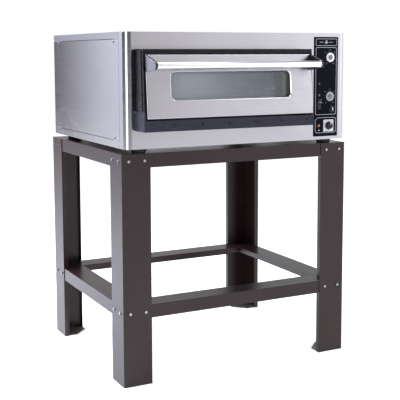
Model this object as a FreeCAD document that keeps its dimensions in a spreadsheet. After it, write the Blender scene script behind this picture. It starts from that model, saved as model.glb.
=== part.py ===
import FreeCAD, Part
import math
import os
from types import SimpleNamespace

import Sketcher
from FreeCAD import Placement, Rotation, Vector

# A single-deck electric pizza oven on its painted steel stand.
# Frame: +X to the right, +Y to the back, +Z up, origin on the floor under the middle of the
# whole object. Oven pieces are drawn from the casing's left front bottom corner, door pieces
# from the middle of the hinge axis, in a frame that leans back with the door.

DIMENSIONS = {
    # stand
    "stand_width": 983, "stand_depth": 804, "stand_height": 874, "stand_gauge": 2.5,
    "leg_width": 115, "leg_lip": 20, "notch_gap": 2,
    "top_rail_height": 53, "top_rail_depth": 150, "top_rail_lip": 15,
    "shelf_height": 305, "shelf_rail_height": 51, "shelf_rail_depth": 92, "shelf_rail_lip": 22,
    "mitre_gap": 1, "foot_plate_gauge": 3, "foot_plate_cut": 55,
    "bolt_near": 27.5, "bolt_far": 90, "bolt_radius": 3, "bolt_hole_radius": 3.2,
    "bolt_length": 14, "bolt_head_radius": 5.8, "bolt_head_height": 4, "nut_height": 5.5,
    # casing
    "casing_width": 963, "casing_depth": 810, "casing_height": 424, "casing_gauge": 1.5,
    "corner_radius": 27, "fascia_return": 54, "seam": 2, "cover_lip": 25, "tray_lip": 27,
    "fit_gap": 0.3, "oven_overhang": 15, "front_reach": 164.6, "gland_reach": 26,
    "rubber_foot_height": 18, "rubber_foot_top": 33, "rubber_foot_bottom": 25,
    "stud_radius": 4, "stud_length": 7, "foot_inset_side": 72, "foot_inset_front": 50,
    "foot_inset_rear": 42, "post_width": 72, "post_flange": 25, "front_post_start": 40,
    "screw_radius": 2, "screw_hole_radius": 2.1, "screw_head_radius": 4.5,
    "screw_head_height": 2.6, "screw_length": 7, "short_screw_length": 2.5,
    "panel_screw_front": 102, "panel_screw_rear": 745, "panel_screw_low": 36,
    "panel_screw_high": 388, "back_screw_inset": 15, "vent_height": 5, "side_vent_start": 250,
    "side_vent_length": 40, "side_vent_pitch": 60, "side_vent_low": 70, "rear_vent_left": 806,
    "rear_vent_right": 921, "rear_vent_low": 250, "rear_vent_pitch": 18,
    # door surround
    "surround_left": 39, "surround_right": 754, "surround_bottom": 68, "surround_top": 361,
    "cheek_thickness": 7, "cheek_plate": 4.5, "block_top": 140, "block_reach": 85,
    "cheek_reach_low": 80, "cheek_reach_high": 69, "surround_gauge": 2, "surround_flange": 11,
    "lintel_bottom": 344.5, "lintel_reach": 70, "sill_top": 108, "sill_reach": 84,
    "sill_screw_height": 90, "sill_screw_first": 156, "sill_screw_pitch": 113,
    "plate_screw_reach": 15, "plate_screw_height": 153, "block_screw_reach": 8,
    "block_screw_height": 137, "cheek_screw_depth": 2.8, "band_back": 20, "band_reach_low": 64,
    "band_reach_high": 55,
    # hinge and door leaf
    "hinge_reach": 77, "hinge_height": 134, "door_tilt": 4.93, "hinge_radius": 4,
    "hinge_clearance": 0.05, "hinge_bore_depth": 5, "leaf_gap": 2, "leaf_front": 16,
    "leaf_back": 8, "leaf_bottom": 20.5, "leaf_top": 207.5, "leaf_gauge": 2, "leaf_round": 3.5,
    "window_half": 255, "window_low": 41.5, "window_high": 147, "window_round": 20,
    "window_depth": 20, "glass_thickness": 4, "glass_margin": 18,
    "pan_half": 336, "pan_low": -12, "pan_high": 193, "pan_back": 50, "pan_gauge": 1.5,
    "handle_out": 88, "handle_up": 163, "handle_radius": 12.5, "handle_wall": 1.5,
    "bracket_low": 146, "bracket_high": 206, "bracket_nose": 14, "bracket_thickness": 9,
    "spigot_length": 14, "bracket_screw_low": 157, "bracket_screw_high": 195,
    "pan_window_half": 248, "pan_window_low": 45, "pan_window_high": 144, "pan_window_round": 16,
    "inner_glass_margin": 13, "wool_window_gap": 4, "wool_gap": 0.3,
    # chamber
    "chamber_left": 57, "chamber_width": 680, "chamber_depth": 700, "chamber_floor": 155,
    "chamber_height": 150, "liner_gauge": 1.5, "door_seal_gap": 3, "rib_height": 17,
    "rib_thickness": 10, "liner_reach": 40, "liner_behind": 5, "mouth_gap": 0.5,
    "stone_thickness": 15, "stone_width": 333, "stone_gap": 4, "stone_inset": 5,
    "stone_front": 12, "stone_back": 700, "stone_bevel": 2, "heater_radius": 4,
    "heater_half": 60, "heater_start": 140, "heater_end": 780, "heater_rise": 8,
    "heater_drop": 13, "lamp_depth": 212, "lamp_height": 247, "lamp_radius": 32,
    "lamp_glass_radius": 30, "lamp_hole": 28, "lamp_cup_depth": 44, "insulation_front": 8,
    "insulation_left": 28, "insulation_right": 766, "insulation_back": 760,
    "insulation_low": 9, "insulation_high": 421, "shield_left": 768, "shield_front": 8,
    "shield_foot": 20, "probe_depth": 120, "probe_high": 275, "probe_low": 198,
    "probe_radius": 3, "probe_length": 45, "capillary_radius": 1.5, "capillary_bend": 12,
    "thermostat_half": 27, "thermostat_depth": 34,
    # controls
    "panel_left": 810, "panel_right": 923, "panel_bottom": 12.5, "panel_top": 409,
    "panel_thickness": 3, "panel_round": 3, "panel_lap": 9, "dial_across": 884,
    "dial_high": 328, "dial_low": 172,
    "selector_across": 892, "selector_up": 120, "switch_across": 879, "switch_up": 55,
    "lamp_across": 833.5, "rocker_up": 132.5, "rocker_tilt": 7, "rocker_half_width": 5.5,
    "rocker_half_height": 8.8, "rocker_pin_radius": 1.5, "rocker_axis_depth": 1.5,
    "shaft_radius": 3, "shaft_grip": 5.5, "shaft_root": 4, "knob_gap": 0.4,
    "pointer_height": 1.2, "switch_plate_half": 24, "switch_plate_height": 2.5,
    "gland_across": 866, "gland_up": 75, "gland_bore": 7, "gland_thread": 12,
}

PLANE_ROLES = {"XY": "XY_Plane", "XZ": "XZ_Plane", "YZ": "YZ_Plane"}

doc = FreeCAD.newDocument("deck_oven")
nodes = {}


class Size:
    """A number that carries the spreadsheet expression it comes from."""

    def __init__(self, value, text):
        self.value = value
        self.text = text

    def __add__(self, other):
        other = as_size(other)
        return Size(self.value + other.value, f"({self.text} + {other.text})")

    def __sub__(self, other):
        other = as_size(other)
        return Size(self.value - other.value, f"({self.text} - {other.text})")

    def __rsub__(self, other):
        return as_size(other) - self

    def __mul__(self, factor):
        return Size(self.value * factor, f"({self.text} * {factor})")

    def __neg__(self):
        return self * -1

    __radd__ = __add__
    __rmul__ = __mul__


def as_size(number):
    if isinstance(number, Size):
        return number
    return Size(float(number), f"({float(number)})")


def fill_sheet():
    """Write the driving dimensions to the sheet and return them as sizes."""
    sheet = doc.addObject("Spreadsheet::Sheet", "dims")
    for row, (alias, number) in enumerate(DIMENSIONS.items(), start=1):
        sheet.set(f"A{row}", alias.replace("_", " "))
        sheet.set(f"B{row}", str(number))
        sheet.setAlias(f"B{row}", alias)
    doc.recompute()
    return SimpleNamespace(**{
        alias: Size(float(sheet.get(alias)), f"dims.{alias}") for alias in DIMENSIONS
    })


dim = fill_sheet()

# Places that many pieces share.
oven_left = dim.casing_width * -0.5
oven_front = (dim.front_reach - dim.casing_depth - dim.gland_reach) * 0.5
oven_base = dim.stand_height + dim.rubber_foot_height
stand_left = dim.stand_width * -0.5
stand_front = oven_front + dim.oven_overhang
door_middle = oven_left + (dim.surround_left + dim.surround_right) * 0.5
leaf_half = (dim.surround_right - dim.surround_left) * 0.5 - dim.cheek_thickness - dim.leaf_gap
chamber_right = dim.chamber_left + dim.chamber_width
chamber_top = dim.chamber_floor + dim.chamber_height
heater_low = dim.chamber_floor + dim.heater_rise
heater_high = chamber_top - dim.heater_drop
knob_face = dim.panel_thickness + dim.knob_gap

HEATER_BAYS = (131, 357.5, 582.5)
RIB_STARTS = (12, 240, 465, 690)
SIDE_VENTS = 8
REAR_VENTS = 6
SILL_SCREWS = 6
BACK_SCREW_HEIGHTS = (60, 212, 364)


# ---------------------------------------------------------------- helpers

def put(thing, place, axis=Vector(0, 0, 1), angle=0):
    """Place an object at bound coordinates, turned by an angle about an axis."""
    x, y, z = (as_size(value) for value in place)
    turn = as_size(angle)
    thing.Placement = Placement(Vector(x.value, y.value, z.value), Rotation(axis, turn.value))
    thing.setExpression(".Placement.Base.x", x.text)
    thing.setExpression(".Placement.Base.y", y.text)
    thing.setExpression(".Placement.Base.z", z.text)
    if turn.value:
        thing.setExpression(".Placement.Rotation.Angle", turn.text)
    return thing


def keep(thing, label):
    """Register an object as one of the exported sub-parts."""
    thing.Label = label
    nodes[label] = thing
    return thing


def in_oven(x, y, z):
    return oven_left + x, oven_front + y, oven_base + z


def new_body(name, place=None, axis=Vector(0, 0, 1), angle=0):
    body = doc.addObject("PartDesign::Body", name)
    return put(body, place or in_oven(0, 0, 0), axis, angle)


def door_body(name):
    place = (door_middle, oven_front - dim.hinge_reach, oven_base + dim.hinge_height)
    return new_body(name, place, Vector(1, 0, 0), -dim.door_tilt)


def door_placement():
    base = Vector(door_middle.value, (oven_front - dim.hinge_reach).value,
                  (oven_base + dim.hinge_height).value)
    return Placement(base, Rotation(Vector(1, 0, 0), -dim.door_tilt.value))


def sketch_on(body, plane, lift=0):
    """Start a sketch on one of the body's own planes, lifted along the plane's normal.

    The normals are XY: +Z, XZ: -Y and YZ: +X.
    """
    lift = as_size(lift)
    sketch = body.newObject("Sketcher::SketchObject", f"{body.Name}_sketch")
    planes = body.Origin.OriginFeatures
    support = next(item for item in planes if item.Role == PLANE_ROLES[plane])
    sketch.AttachmentSupport = [(support, "")]
    sketch.MapMode = "FlatFace"
    sketch.AttachmentOffset = Placement(Vector(0, 0, lift.value), Rotation())
    sketch.setExpression(".AttachmentOffset.Base.z", lift.text)
    return sketch


def bind_point(sketch, geometry, point, across, up):
    """Fix one point of a sketch at bound coordinates."""
    for kind, value, axis in (("DistanceX", as_size(across), -2), ("DistanceY", as_size(up), -1)):
        if value.value == 0:
            sketch.addConstraint(Sketcher.Constraint("PointOnObject", geometry, point, axis))
        else:
            index = sketch.addConstraint(Sketcher.Constraint(kind, geometry, point, value.value))
            sketch.setExpression(f"Constraints[{index}]", value.text)


def bind_radius(sketch, geometry, radius):
    radius = as_size(radius)
    index = sketch.addConstraint(Sketcher.Constraint("Radius", geometry, radius.value))
    sketch.setExpression(f"Constraints[{index}]", radius.text)


def polygon(sketch, points):
    first = sketch.GeometryCount
    spots = [Vector(as_size(across).value, as_size(up).value, 0) for across, up in points]
    count = len(points)
    for index in range(count):
        sketch.addGeometry(Part.LineSegment(spots[index], spots[(index + 1) % count]))
    for index in range(count):
        here = first + index
        after = first + (index + 1) % count
        sketch.addConstraint(Sketcher.Constraint("Coincident", here, 2, after, 1))
    for index, (across, up) in enumerate(points):
        bind_point(sketch, first + index, 1, across, up)


def rectangle(sketch, left, right, low, high):
    polygon(sketch, [(left, low), (right, low), (right, high), (left, high)])


def circle(sketch, across, up, radius):
    centre = Vector(as_size(across).value, as_size(up).value, 0)
    shape = Part.Circle(centre, Vector(0, 0, 1), as_size(radius).value)
    index = sketch.addGeometry(shape)
    bind_radius(sketch, index, radius)
    bind_point(sketch, index, 3, across, up)


def rounded_rectangle(sketch, left, right, low, high, radius):
    """Four lines joined by four equal tangent arcs."""
    x_low, x_high = as_size(left).value, as_size(right).value
    y_low, y_high = as_size(low).value, as_size(high).value
    r = as_size(radius).value
    first = sketch.GeometryCount
    corners = [(x_high - r, y_low + r, -90), (x_high - r, y_high - r, 0),
               (x_low + r, y_high - r, 90), (x_low + r, y_low + r, 180)]
    lines = [((x_low + r, y_low), (x_high - r, y_low)), ((x_high, y_low + r), (x_high, y_high - r)),
             ((x_high - r, y_high), (x_low + r, y_high)), ((x_low, y_high - r), (x_low, y_low + r))]
    for (start, end), (centre_x, centre_y, angle) in zip(lines, corners):
        sketch.addGeometry(Part.LineSegment(Vector(*start, 0), Vector(*end, 0)))
        round_off = Part.Circle(Vector(centre_x, centre_y, 0), Vector(0, 0, 1), r)
        turn = math.radians(angle)
        sketch.addGeometry(Part.ArcOfCircle(round_off, turn, turn + math.pi / 2))
    for index in range(4):
        line = first + 2 * index
        arc = line + 1
        following = first + (2 * index + 2) % 8
        sketch.addConstraint(Sketcher.Constraint("Tangent", line, 2, arc, 1))
        sketch.addConstraint(Sketcher.Constraint("Tangent", arc, 2, following, 1))
        sketch.addConstraint(Sketcher.Constraint("Vertical" if index % 2 else "Horizontal", line))
    bind_radius(sketch, first + 1, radius)
    for arc in (3, 5, 7):
        sketch.addConstraint(Sketcher.Constraint("Equal", first + 1, first + arc))
    for line, kind, value in ((0, "DistanceY", low), (2, "DistanceX", right),
                              (4, "DistanceY", high), (6, "DistanceX", left)):
        value = as_size(value)
        limit = Sketcher.Constraint(kind, first + line, 1, value.value)
        sketch.setExpression(f"Constraints[{sketch.addConstraint(limit)}]", value.text)


def pad(body, sketch, length, reverse=False):
    length = as_size(length)
    feature = body.newObject("PartDesign::Pad", f"{body.Name}_pad")
    feature.Profile = sketch
    feature.Length = length.value
    feature.setExpression("Length", length.text)
    feature.Reversed = reverse
    doc.recompute()
    return feature


def pocket(body, sketch, length, reverse=False):
    """Cut a sketch into the body, and stop if nothing was removed."""
    length = as_size(length)
    before = body.Shape.Volume
    feature = body.newObject("PartDesign::Pocket", f"{body.Name}_pocket")
    feature.Profile = sketch
    feature.Length = length.value
    feature.setExpression("Length", length.text)
    feature.Reversed = reverse
    doc.recompute()
    if not body.Shape.Volume < before - 1e-6:
        raise RuntimeError(f"{feature.Name} cuts nothing")
    return feature


def revolve(body, points):
    """Turn a half section, given as radius and height, about the body's Z axis."""
    sketch = sketch_on(body, "XZ")
    polygon(sketch, points)
    feature = body.newObject("PartDesign::Revolution", f"{body.Name}_turned")
    feature.Profile = sketch
    feature.ReferenceAxis = (sketch, ["V_Axis"])
    feature.Angle = 360
    doc.recompute()
    return feature


def soften(body, kind, edge_test, amount):
    """Fillet or chamfer the edges of the body's tip that pass a test."""
    tip = body.Tip
    names = [f"Edge{index}" for index, edge in enumerate(tip.Shape.Edges, start=1)
             if edge_test(edge)]
    if not names:
        raise RuntimeError(f"no edges to soften on {body.Name}")
    amount = as_size(amount)
    feature = body.newObject(f"PartDesign::{kind}", f"{body.Name}_{kind.lower()}")
    feature.Base = (tip, names)
    prop = "Radius" if kind == "Fillet" else "Size"
    setattr(feature, prop, amount.value)
    feature.setExpression(prop, amount.text)
    doc.recompute()
    return feature


def upright_at(across, back):
    """A test for the vertical edge that stands at one point of the plan."""
    x, y = as_size(across).value, as_size(back).value

    def test(edge):
        box = edge.BoundBox
        near = abs(box.XMin - x) < 0.01 and abs(box.YMin - y) < 0.01
        return near and box.XLength < 0.01 and box.YLength < 0.01
    return test


def block(name, x_from, x_to, y_from, y_to, z_from, z_to):
    """A bound Part::Box between oven coordinates."""
    spans = [(as_size(a), as_size(b)) for a, b in ((x_from, x_to), (y_from, y_to), (z_from, z_to))]
    thing = doc.addObject("Part::Box", name)
    for prop, (low, high) in zip(("Length", "Width", "Height"), spans):
        setattr(thing, prop, (high - low).value)
        thing.setExpression(prop, (high - low).text)
    return put(thing, in_oven(*(low for low, high in spans)))


AXES = {"x": (Vector(0, 1, 0), 90), "y": (Vector(1, 0, 0), -90), "z": (Vector(0, 0, 1), 0)}


def rod(name, place, direction, radius, length):
    """A bound Part::Cylinder from a point in oven coordinates along +x, +y or +z."""
    thing = doc.addObject("Part::Cylinder", name)
    for prop, value in (("Radius", as_size(radius)), ("Height", as_size(length))):
        setattr(thing, prop, value.value)
        thing.setExpression(prop, value.text)
    return put(thing, in_oven(*place), *AXES[direction])


def fuse(name, shapes):
    joined = doc.addObject("Part::MultiFuse", name)
    joined.Shapes = shapes
    return joined


def cut(name, base, tools):
    """Take one or more tools away from a base."""
    removed = doc.addObject("Part::Cut", name)
    removed.Base = base
    removed.Tool = tools[0] if len(tools) == 1 else fuse(f"{name}_tools", tools)
    return removed


def group(label, members):
    """Several separate solids of one kind in one sub-part."""
    gathered = doc.addObject("Part::Compound", label)
    gathered.Links = members
    return keep(gathered, label)


def copies(prototype, placements):
    """Shapes of one prototype at many placements."""
    doc.recompute()
    shapes = []
    for placement in placements:
        shape = prototype.Shape.copy()
        shape.Placement = placement.multiply(prototype.Placement)
        shapes.append(shape)
    return shapes


def gather(label, shapes):
    """Loose shapes as one sub-part."""
    thing = doc.addObject("Part::Feature", label)
    thing.Shape = Part.makeCompound(shapes)
    return keep(thing, label)


def scatter(label, prototype, placements):
    """Copies of one prototype at many placements, as one sub-part."""
    return gather(label, copies(prototype, placements))


def at_oven(x, y, z, rotation=Rotation()):
    spot = [as_size(value).value for value in in_oven(x, y, z)]
    return Placement(Vector(*spot), rotation)


OUT_FRONT = Rotation(Vector(1, 0, 0), 90)
OUT_BACK = Rotation(Vector(1, 0, 0), -90)
OUT_LEFT = Rotation(Vector(0, 1, 0), -90)
OUT_RIGHT = Rotation(Vector(0, 1, 0), 90)


def turned(name, points):
    """A body of revolution about its own Z axis, at the frame's origin."""
    body = new_body(name, (0, 0, 0))
    revolve(body, points)
    return body


# ---------------------------------------------------------------- stand

def stand_corners():
    """Plan position and turn of the four legs, anticlockwise from the front left."""
    right = stand_left + dim.stand_width
    back = stand_front + dim.stand_depth
    return [("front_left", stand_left, stand_front, 0), ("front_right", right, stand_front, 90),
            ("rear_right", right, back, 180), ("rear_left", stand_left, back, 270)]


def bolt_heights():
    return (dim.stand_height - dim.top_rail_height * 0.5,
            dim.shelf_height - dim.shelf_rail_height * 0.5)


def make_leg(corner, across, back, turn):
    """A folded angle with a return lip on both free edges, notched where the rails pass."""
    wide, lip, gauge = dim.leg_width, dim.leg_lip, dim.stand_gauge
    body = new_body(f"leg_{corner}", (across, back, 0), angle=turn)
    section = sketch_on(body, "XY")
    polygon(section, [(0, 0), (wide, 0), (wide, lip), (wide - gauge, lip), (wide - gauge, gauge),
                      (gauge, gauge), (gauge, wide - gauge), (lip, wide - gauge), (lip, wide),
                      (0, wide)])
    pad(body, section, dim.stand_height)
    for plane, lift, reverse in (("XZ", -gauge, False), ("YZ", gauge, True)):
        notches = sketch_on(body, plane, lift)
        rectangle(notches, wide - gauge - 1, wide + 1,
                  dim.stand_height - dim.top_rail_height - dim.notch_gap, dim.stand_height + 1)
        rectangle(notches, wide - gauge - 1, wide + 1,
                  dim.shelf_height - dim.shelf_rail_height - dim.notch_gap,
                  dim.shelf_height + dim.notch_gap)
        pocket(body, notches, lip, reverse)
        holes = sketch_on(body, plane)
        for height in bolt_heights():
            for inset in (dim.bolt_near, dim.bolt_far):
                circle(holes, inset, height, dim.bolt_hole_radius)
        pocket(body, holes, gauge * 2, reverse)
    keep(body, f"leg_{corner}")


def make_rail(label, across, back, turn, length, top, height, depth, lip):
    """A folded channel with a wide top flange, mitred to meet its neighbours at 45 degrees."""
    gauge, gap = dim.stand_gauge, dim.mitre_gap
    body = new_body(label, (across, back, top), angle=turn)
    section = sketch_on(body, "YZ")
    polygon(section, [(0, 0), (0, -height), (gauge, -height), (gauge, -gauge),
                      (depth - gauge, -gauge), (depth - gauge, -lip), (depth, -lip), (depth, 0)])
    pad(body, section, length)
    mitre = sketch_on(body, "XY")
    polygon(mitre, [(-1, -1), (gap - 1, -1), (gap + depth + 1, depth + 1), (-1, depth + 1)])
    polygon(mitre, [(length + 1, -1), (length - gap + 1, -1),
                    (length - gap - depth - 1, depth + 1), (length + 1, depth + 1)])
    pocket(body, mitre, height + 1)
    holes = sketch_on(body, "XZ")
    for inset in (dim.bolt_near - gauge, dim.bolt_far - gauge):
        circle(holes, inset, height * -0.5, dim.bolt_hole_radius)
        circle(holes, length - inset, height * -0.5, dim.bolt_hole_radius)
    pocket(body, holes, gauge * 2)
    keep(body, label)


def make_rails():
    gauge = dim.stand_gauge
    left, front = stand_left + gauge, stand_front + gauge
    right = stand_left + dim.stand_width - gauge
    back = stand_front + dim.stand_depth - gauge
    wide, deep = dim.stand_width - gauge * 2, dim.stand_depth - gauge * 2
    frames = (("top_rail", dim.stand_height, dim.top_rail_height, dim.top_rail_depth,
               dim.top_rail_lip),
              ("shelf_rail", dim.shelf_height, dim.shelf_rail_height, dim.shelf_rail_depth,
               dim.shelf_rail_lip))
    for name, top, height, depth, lip in frames:
        make_rail(f"{name}_front", left, front, 0, wide, top, height, depth, lip)
        make_rail(f"{name}_right", right, front, 90, deep, top, height, depth, lip)
        make_rail(f"{name}_rear", right, back, 180, wide, top, height, depth, lip)
        make_rail(f"{name}_left", left, back, 270, deep, top, height, depth, lip)


def make_foot_plates():
    """A flat plate in each leg's foot, with its inner corner cut off."""
    gauge, wide = dim.stand_gauge, dim.leg_width - dim.stand_gauge
    plates = []
    for corner, across, back, turn in stand_corners():
        body = new_body(f"foot_plate_{corner}", (across, back, 0), angle=turn)
        outline = sketch_on(body, "XY")
        polygon(outline, [(gauge, gauge), (wide, gauge), (wide, wide - dim.foot_plate_cut),
                          (wide - dim.foot_plate_cut, wide), (gauge, wide)])
        pad(body, outline, dim.foot_plate_gauge)
        plates.append(body)
    group("foot_plates", plates)


def make_stand_fasteners():
    """Hexagon bolts through legs and rails, each with its nut."""
    head = doc.addObject("Part::Prism", "bolt_head")
    head.Polygon = 6
    head.setExpression("Circumradius", dim.bolt_head_radius.text)
    head.setExpression("Height", dim.bolt_head_height.text)
    shank = doc.addObject("Part::Cylinder", "bolt_shank")
    shank.setExpression("Radius", dim.bolt_radius.text)
    shank.setExpression("Height", dim.bolt_length.text)
    put(shank, (0, 0, -dim.bolt_length))
    bolt = fuse("stand_bolt", [head, shank])
    nut_block = doc.addObject("Part::Prism", "nut_block")
    nut_block.Polygon = 6
    nut_block.setExpression("Circumradius", dim.bolt_head_radius.text)
    nut_block.setExpression("Height", dim.nut_height.text)
    put(nut_block, (0, 0, -dim.stand_gauge * 2 - dim.nut_height))
    nut_bore = doc.addObject("Part::Cylinder", "nut_bore")
    nut_bore.setExpression("Radius", (dim.bolt_radius + 0.05).text)
    nut_bore.setExpression("Height", (dim.bolt_length * 2).text)
    put(nut_bore, (0, 0, dim.bolt_length * -2))
    nut = cut("stand_nut", nut_block, [nut_bore])
    doc.recompute()
    pair = doc.addObject("Part::Compound", "bolt_and_nut")
    pair.Links = [bolt, nut]
    spots = []
    for corner, across, back, turn in stand_corners():
        leg = Placement(Vector(across.value, back.value, 0), Rotation(Vector(0, 0, 1), turn))
        for height in bolt_heights():
            for inset in (dim.bolt_near, dim.bolt_far):
                front = Placement(Vector(inset.value, 0, height.value), OUT_FRONT)
                side = Placement(Vector(0, inset.value, height.value), OUT_LEFT)
                spots += [leg.multiply(front), leg.multiply(side)]
    scatter("stand_fasteners", pair, spots)


# ---------------------------------------------------------------- casing

def foot_spots():
    side, right = dim.foot_inset_side, dim.casing_width - dim.foot_inset_side
    front, rear = dim.foot_inset_front, dim.casing_depth - dim.foot_inset_rear
    return [(side, front), (right, front), (side, rear), (right, rear)]


def make_oven_feet():
    foot = turned("oven_foot", [
        (0, -dim.rubber_foot_height), (dim.rubber_foot_bottom, -dim.rubber_foot_height),
        (dim.rubber_foot_top, 0), (dim.stud_radius, 0), (dim.stud_radius, dim.stud_length),
        (0, dim.stud_length)])
    scatter("oven_feet", foot, [at_oven(x, y, 0) for x, y in foot_spots()])


def make_pan(label, lip, height, upside_down):
    """The base tray, or upside down the top cover: a plate with lips left, right and back."""
    gauge, wide, deep = dim.casing_gauge, dim.casing_width, dim.casing_depth
    seam, inset = dim.fascia_return + dim.seam, dim.casing_gauge + dim.fit_gap
    body = new_body(label, in_oven(0, 0, height))
    outline = sketch_on(body, "XY")
    polygon(outline, [(0, seam), (inset, seam), (inset, inset), (wide - inset, inset),
                      (wide - inset, seam), (wide, seam), (wide, deep), (0, deep)])
    pad(body, outline, lip, upside_down)
    inside = sketch_on(body, "XY", -lip if upside_down else lip)
    rectangle(inside, gauge, wide - gauge, -1, deep - gauge)
    pocket(body, inside, lip - gauge, upside_down)
    for across in (inset, wide - inset):
        soften(body, "Fillet", upright_at(across, inset), dim.corner_radius - inset)
    if not upside_down:
        holes = sketch_on(body, "XY", gauge)
        for across, back in foot_spots():
            circle(holes, across, back, dim.stud_radius + dim.fit_gap)
        pocket(body, holes, gauge)
    keep(body, label)


def make_fascia():
    """The stainless front, bent round both front corners, with its two openings."""
    gauge, wide, back = dim.casing_gauge, dim.casing_width, dim.fascia_return
    body = new_body("front_fascia")
    outline = sketch_on(body, "XY")
    polygon(outline, [(0, 0), (wide, 0), (wide, back), (wide - gauge, back), (wide - gauge, gauge),
                      (gauge, gauge), (gauge, back), (0, back)])
    pad(body, outline, dim.casing_height)
    for across in (0, wide):
        soften(body, "Fillet", upright_at(across, 0), dim.corner_radius)
    for across in (gauge, wide - gauge):
        soften(body, "Fillet", upright_at(across, gauge), dim.corner_radius - gauge)
    openings = sketch_on(body, "XZ")
    gap = dim.fit_gap
    rectangle(openings, dim.surround_left - gap, dim.surround_right + gap,
              dim.surround_bottom - gap, dim.surround_top + gap)
    lap = dim.panel_lap
    rectangle(openings, dim.panel_left + lap, dim.panel_right - lap,
              dim.panel_bottom + lap, dim.panel_top - lap)
    pocket(body, openings, gauge * 2)
    keep(body, "front_fascia")


def screw_rows():
    return [(back, height) for back in (dim.panel_screw_front, dim.panel_screw_rear)
            for height in (dim.panel_screw_low, dim.panel_screw_high)]


def make_side_panels():
    gauge, seam = dim.casing_gauge, dim.seam
    for label, across in (("side_panel_left", as_size(0)),
                          ("side_panel_right", dim.casing_width - gauge)):
        body = new_body(label)
        outline = sketch_on(body, "YZ", across)
        rectangle(outline, dim.fascia_return + seam, dim.casing_depth,
                  dim.tray_lip + seam, dim.casing_height - dim.cover_lip - seam)
        pad(body, outline, gauge)
        holes = sketch_on(body, "YZ", across)
        for back, height in screw_rows():
            circle(holes, back, height, dim.screw_hole_radius)
        if label == "side_panel_right":
            for step in range(SIDE_VENTS):
                start = dim.side_vent_start + dim.side_vent_pitch * step
                rectangle(holes, start, start + dim.side_vent_length,
                          dim.side_vent_low, dim.side_vent_low + dim.vent_height)
        pocket(body, holes, gauge, True)
        keep(body, label)


def back_screw_spots():
    inset = dim.back_screw_inset
    return [(across, height) for across in (inset, dim.casing_width - inset)
            for height in BACK_SCREW_HEIGHTS]


def make_back_panel():
    gauge, seam = dim.casing_gauge, dim.seam
    inset = gauge + dim.fit_gap
    body = new_body("back_panel")
    outline = sketch_on(body, "XZ", -dim.casing_depth)
    rectangle(outline, inset, dim.casing_width - inset,
              dim.tray_lip + seam, dim.casing_height - dim.cover_lip - seam)
    pad(body, outline, gauge)
    holes = sketch_on(body, "XZ", -dim.casing_depth)
    for across, height in back_screw_spots():
        circle(holes, across, height, dim.screw_hole_radius)
    circle(holes, dim.gland_across, dim.gland_up, dim.gland_thread + 0.5)
    for step in range(REAR_VENTS):
        low = dim.rear_vent_low + dim.rear_vent_pitch * step
        rectangle(holes, dim.rear_vent_left, dim.rear_vent_right, low, low + dim.vent_height)
    pocket(body, holes, gauge, True)
    keep(body, "back_panel")


def make_post(name, mirrored, start, flange_at):
    """One upright angle: a web behind the side panel and a flange across the oven."""
    gauge, wide = dim.casing_gauge, dim.casing_width
    end = start + dim.post_width
    body = new_body(name, in_oven(0, 0, gauge))

    def across(value):
        return wide - value if mirrored else as_size(value)

    for reach, near, far in ((gauge * 2, start, end),
                             (gauge + dim.post_flange, flange_at, flange_at + gauge)):
        plan = sketch_on(body, "XY")
        rectangle(plan, across(gauge), across(reach), near, far)
        pad(body, plan, dim.casing_height - gauge * 2)
    if "rear" in name:
        holes = sketch_on(body, "XZ", gauge - dim.casing_depth)
        for spot, height in back_screw_spots():
            if mirrored == (spot.value > wide.value / 2):
                circle(holes, spot, height - gauge, dim.screw_hole_radius)
        pocket(body, holes, gauge * 2, True)
    side = sketch_on(body, "YZ", across(0))
    for back, height in screw_rows():
        if start.value < back.value < end.value:
            circle(side, back, height - gauge, dim.screw_hole_radius)
    pocket(body, side, gauge * 3, not mirrored)
    return body


def make_posts():
    """Upright angles behind the panel joints: two at the front returns, two at the rear."""
    front = dim.front_post_start
    rear = dim.casing_depth - dim.casing_gauge - dim.post_width
    back = dim.casing_depth - dim.casing_gauge * 2
    group("frame_posts", [make_post("post_front_left", False, front, front),
                          make_post("post_front_right", True, front, front),
                          make_post("post_rear_left", False, rear, back),
                          make_post("post_rear_right", True, rear, back)])


def sill_screw_spots():
    return [dim.sill_screw_first + dim.sill_screw_pitch * step for step in range(SILL_SCREWS)]


def cheek_screw_spots():
    """Reach, height and depth under the cheek's outer face of its two screws."""
    return [(dim.plate_screw_reach, dim.plate_screw_height, dim.cheek_thickness - dim.cheek_plate),
            (dim.block_screw_reach, dim.block_screw_height, as_size(0))]


def pan_screw(name, length):
    radius, head, height = dim.screw_radius, dim.screw_head_radius, dim.screw_head_height
    return turned(name, [(0, -length), (radius, -length), (radius, 0), (head, 0),
                         (head, height * 0.45), (head * 0.72, height * 0.9), (0, height)])


def make_casing_screws():
    """Pan-head screws of the panels, the sill and the cheeks."""
    spots = []
    for back, up in screw_rows():
        spots.append(at_oven(0, back, up, OUT_LEFT))
        spots.append(at_oven(dim.casing_width, back, up, OUT_RIGHT))
    for across, up in back_screw_spots():
        spots.append(at_oven(across, dim.casing_depth, up, OUT_BACK))
    for across in sill_screw_spots():
        spots.append(at_oven(across, -dim.sill_reach, dim.sill_screw_height, OUT_FRONT))
    cheek_spots = []
    for reach, up, recess in cheek_screw_spots():
        cheek_spots.append(at_oven(dim.surround_left + recess, -reach, up, OUT_LEFT))
        cheek_spots.append(at_oven(dim.surround_right - recess, -reach, up, OUT_RIGHT))
    long_screw = pan_screw("long_screw", dim.screw_length)
    short_screw = pan_screw("short_screw", dim.short_screw_length)
    gather("casing_screws", copies(long_screw, spots) + copies(short_screw, cheek_spots))


# ---------------------------------------------------------------- door surround

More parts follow.
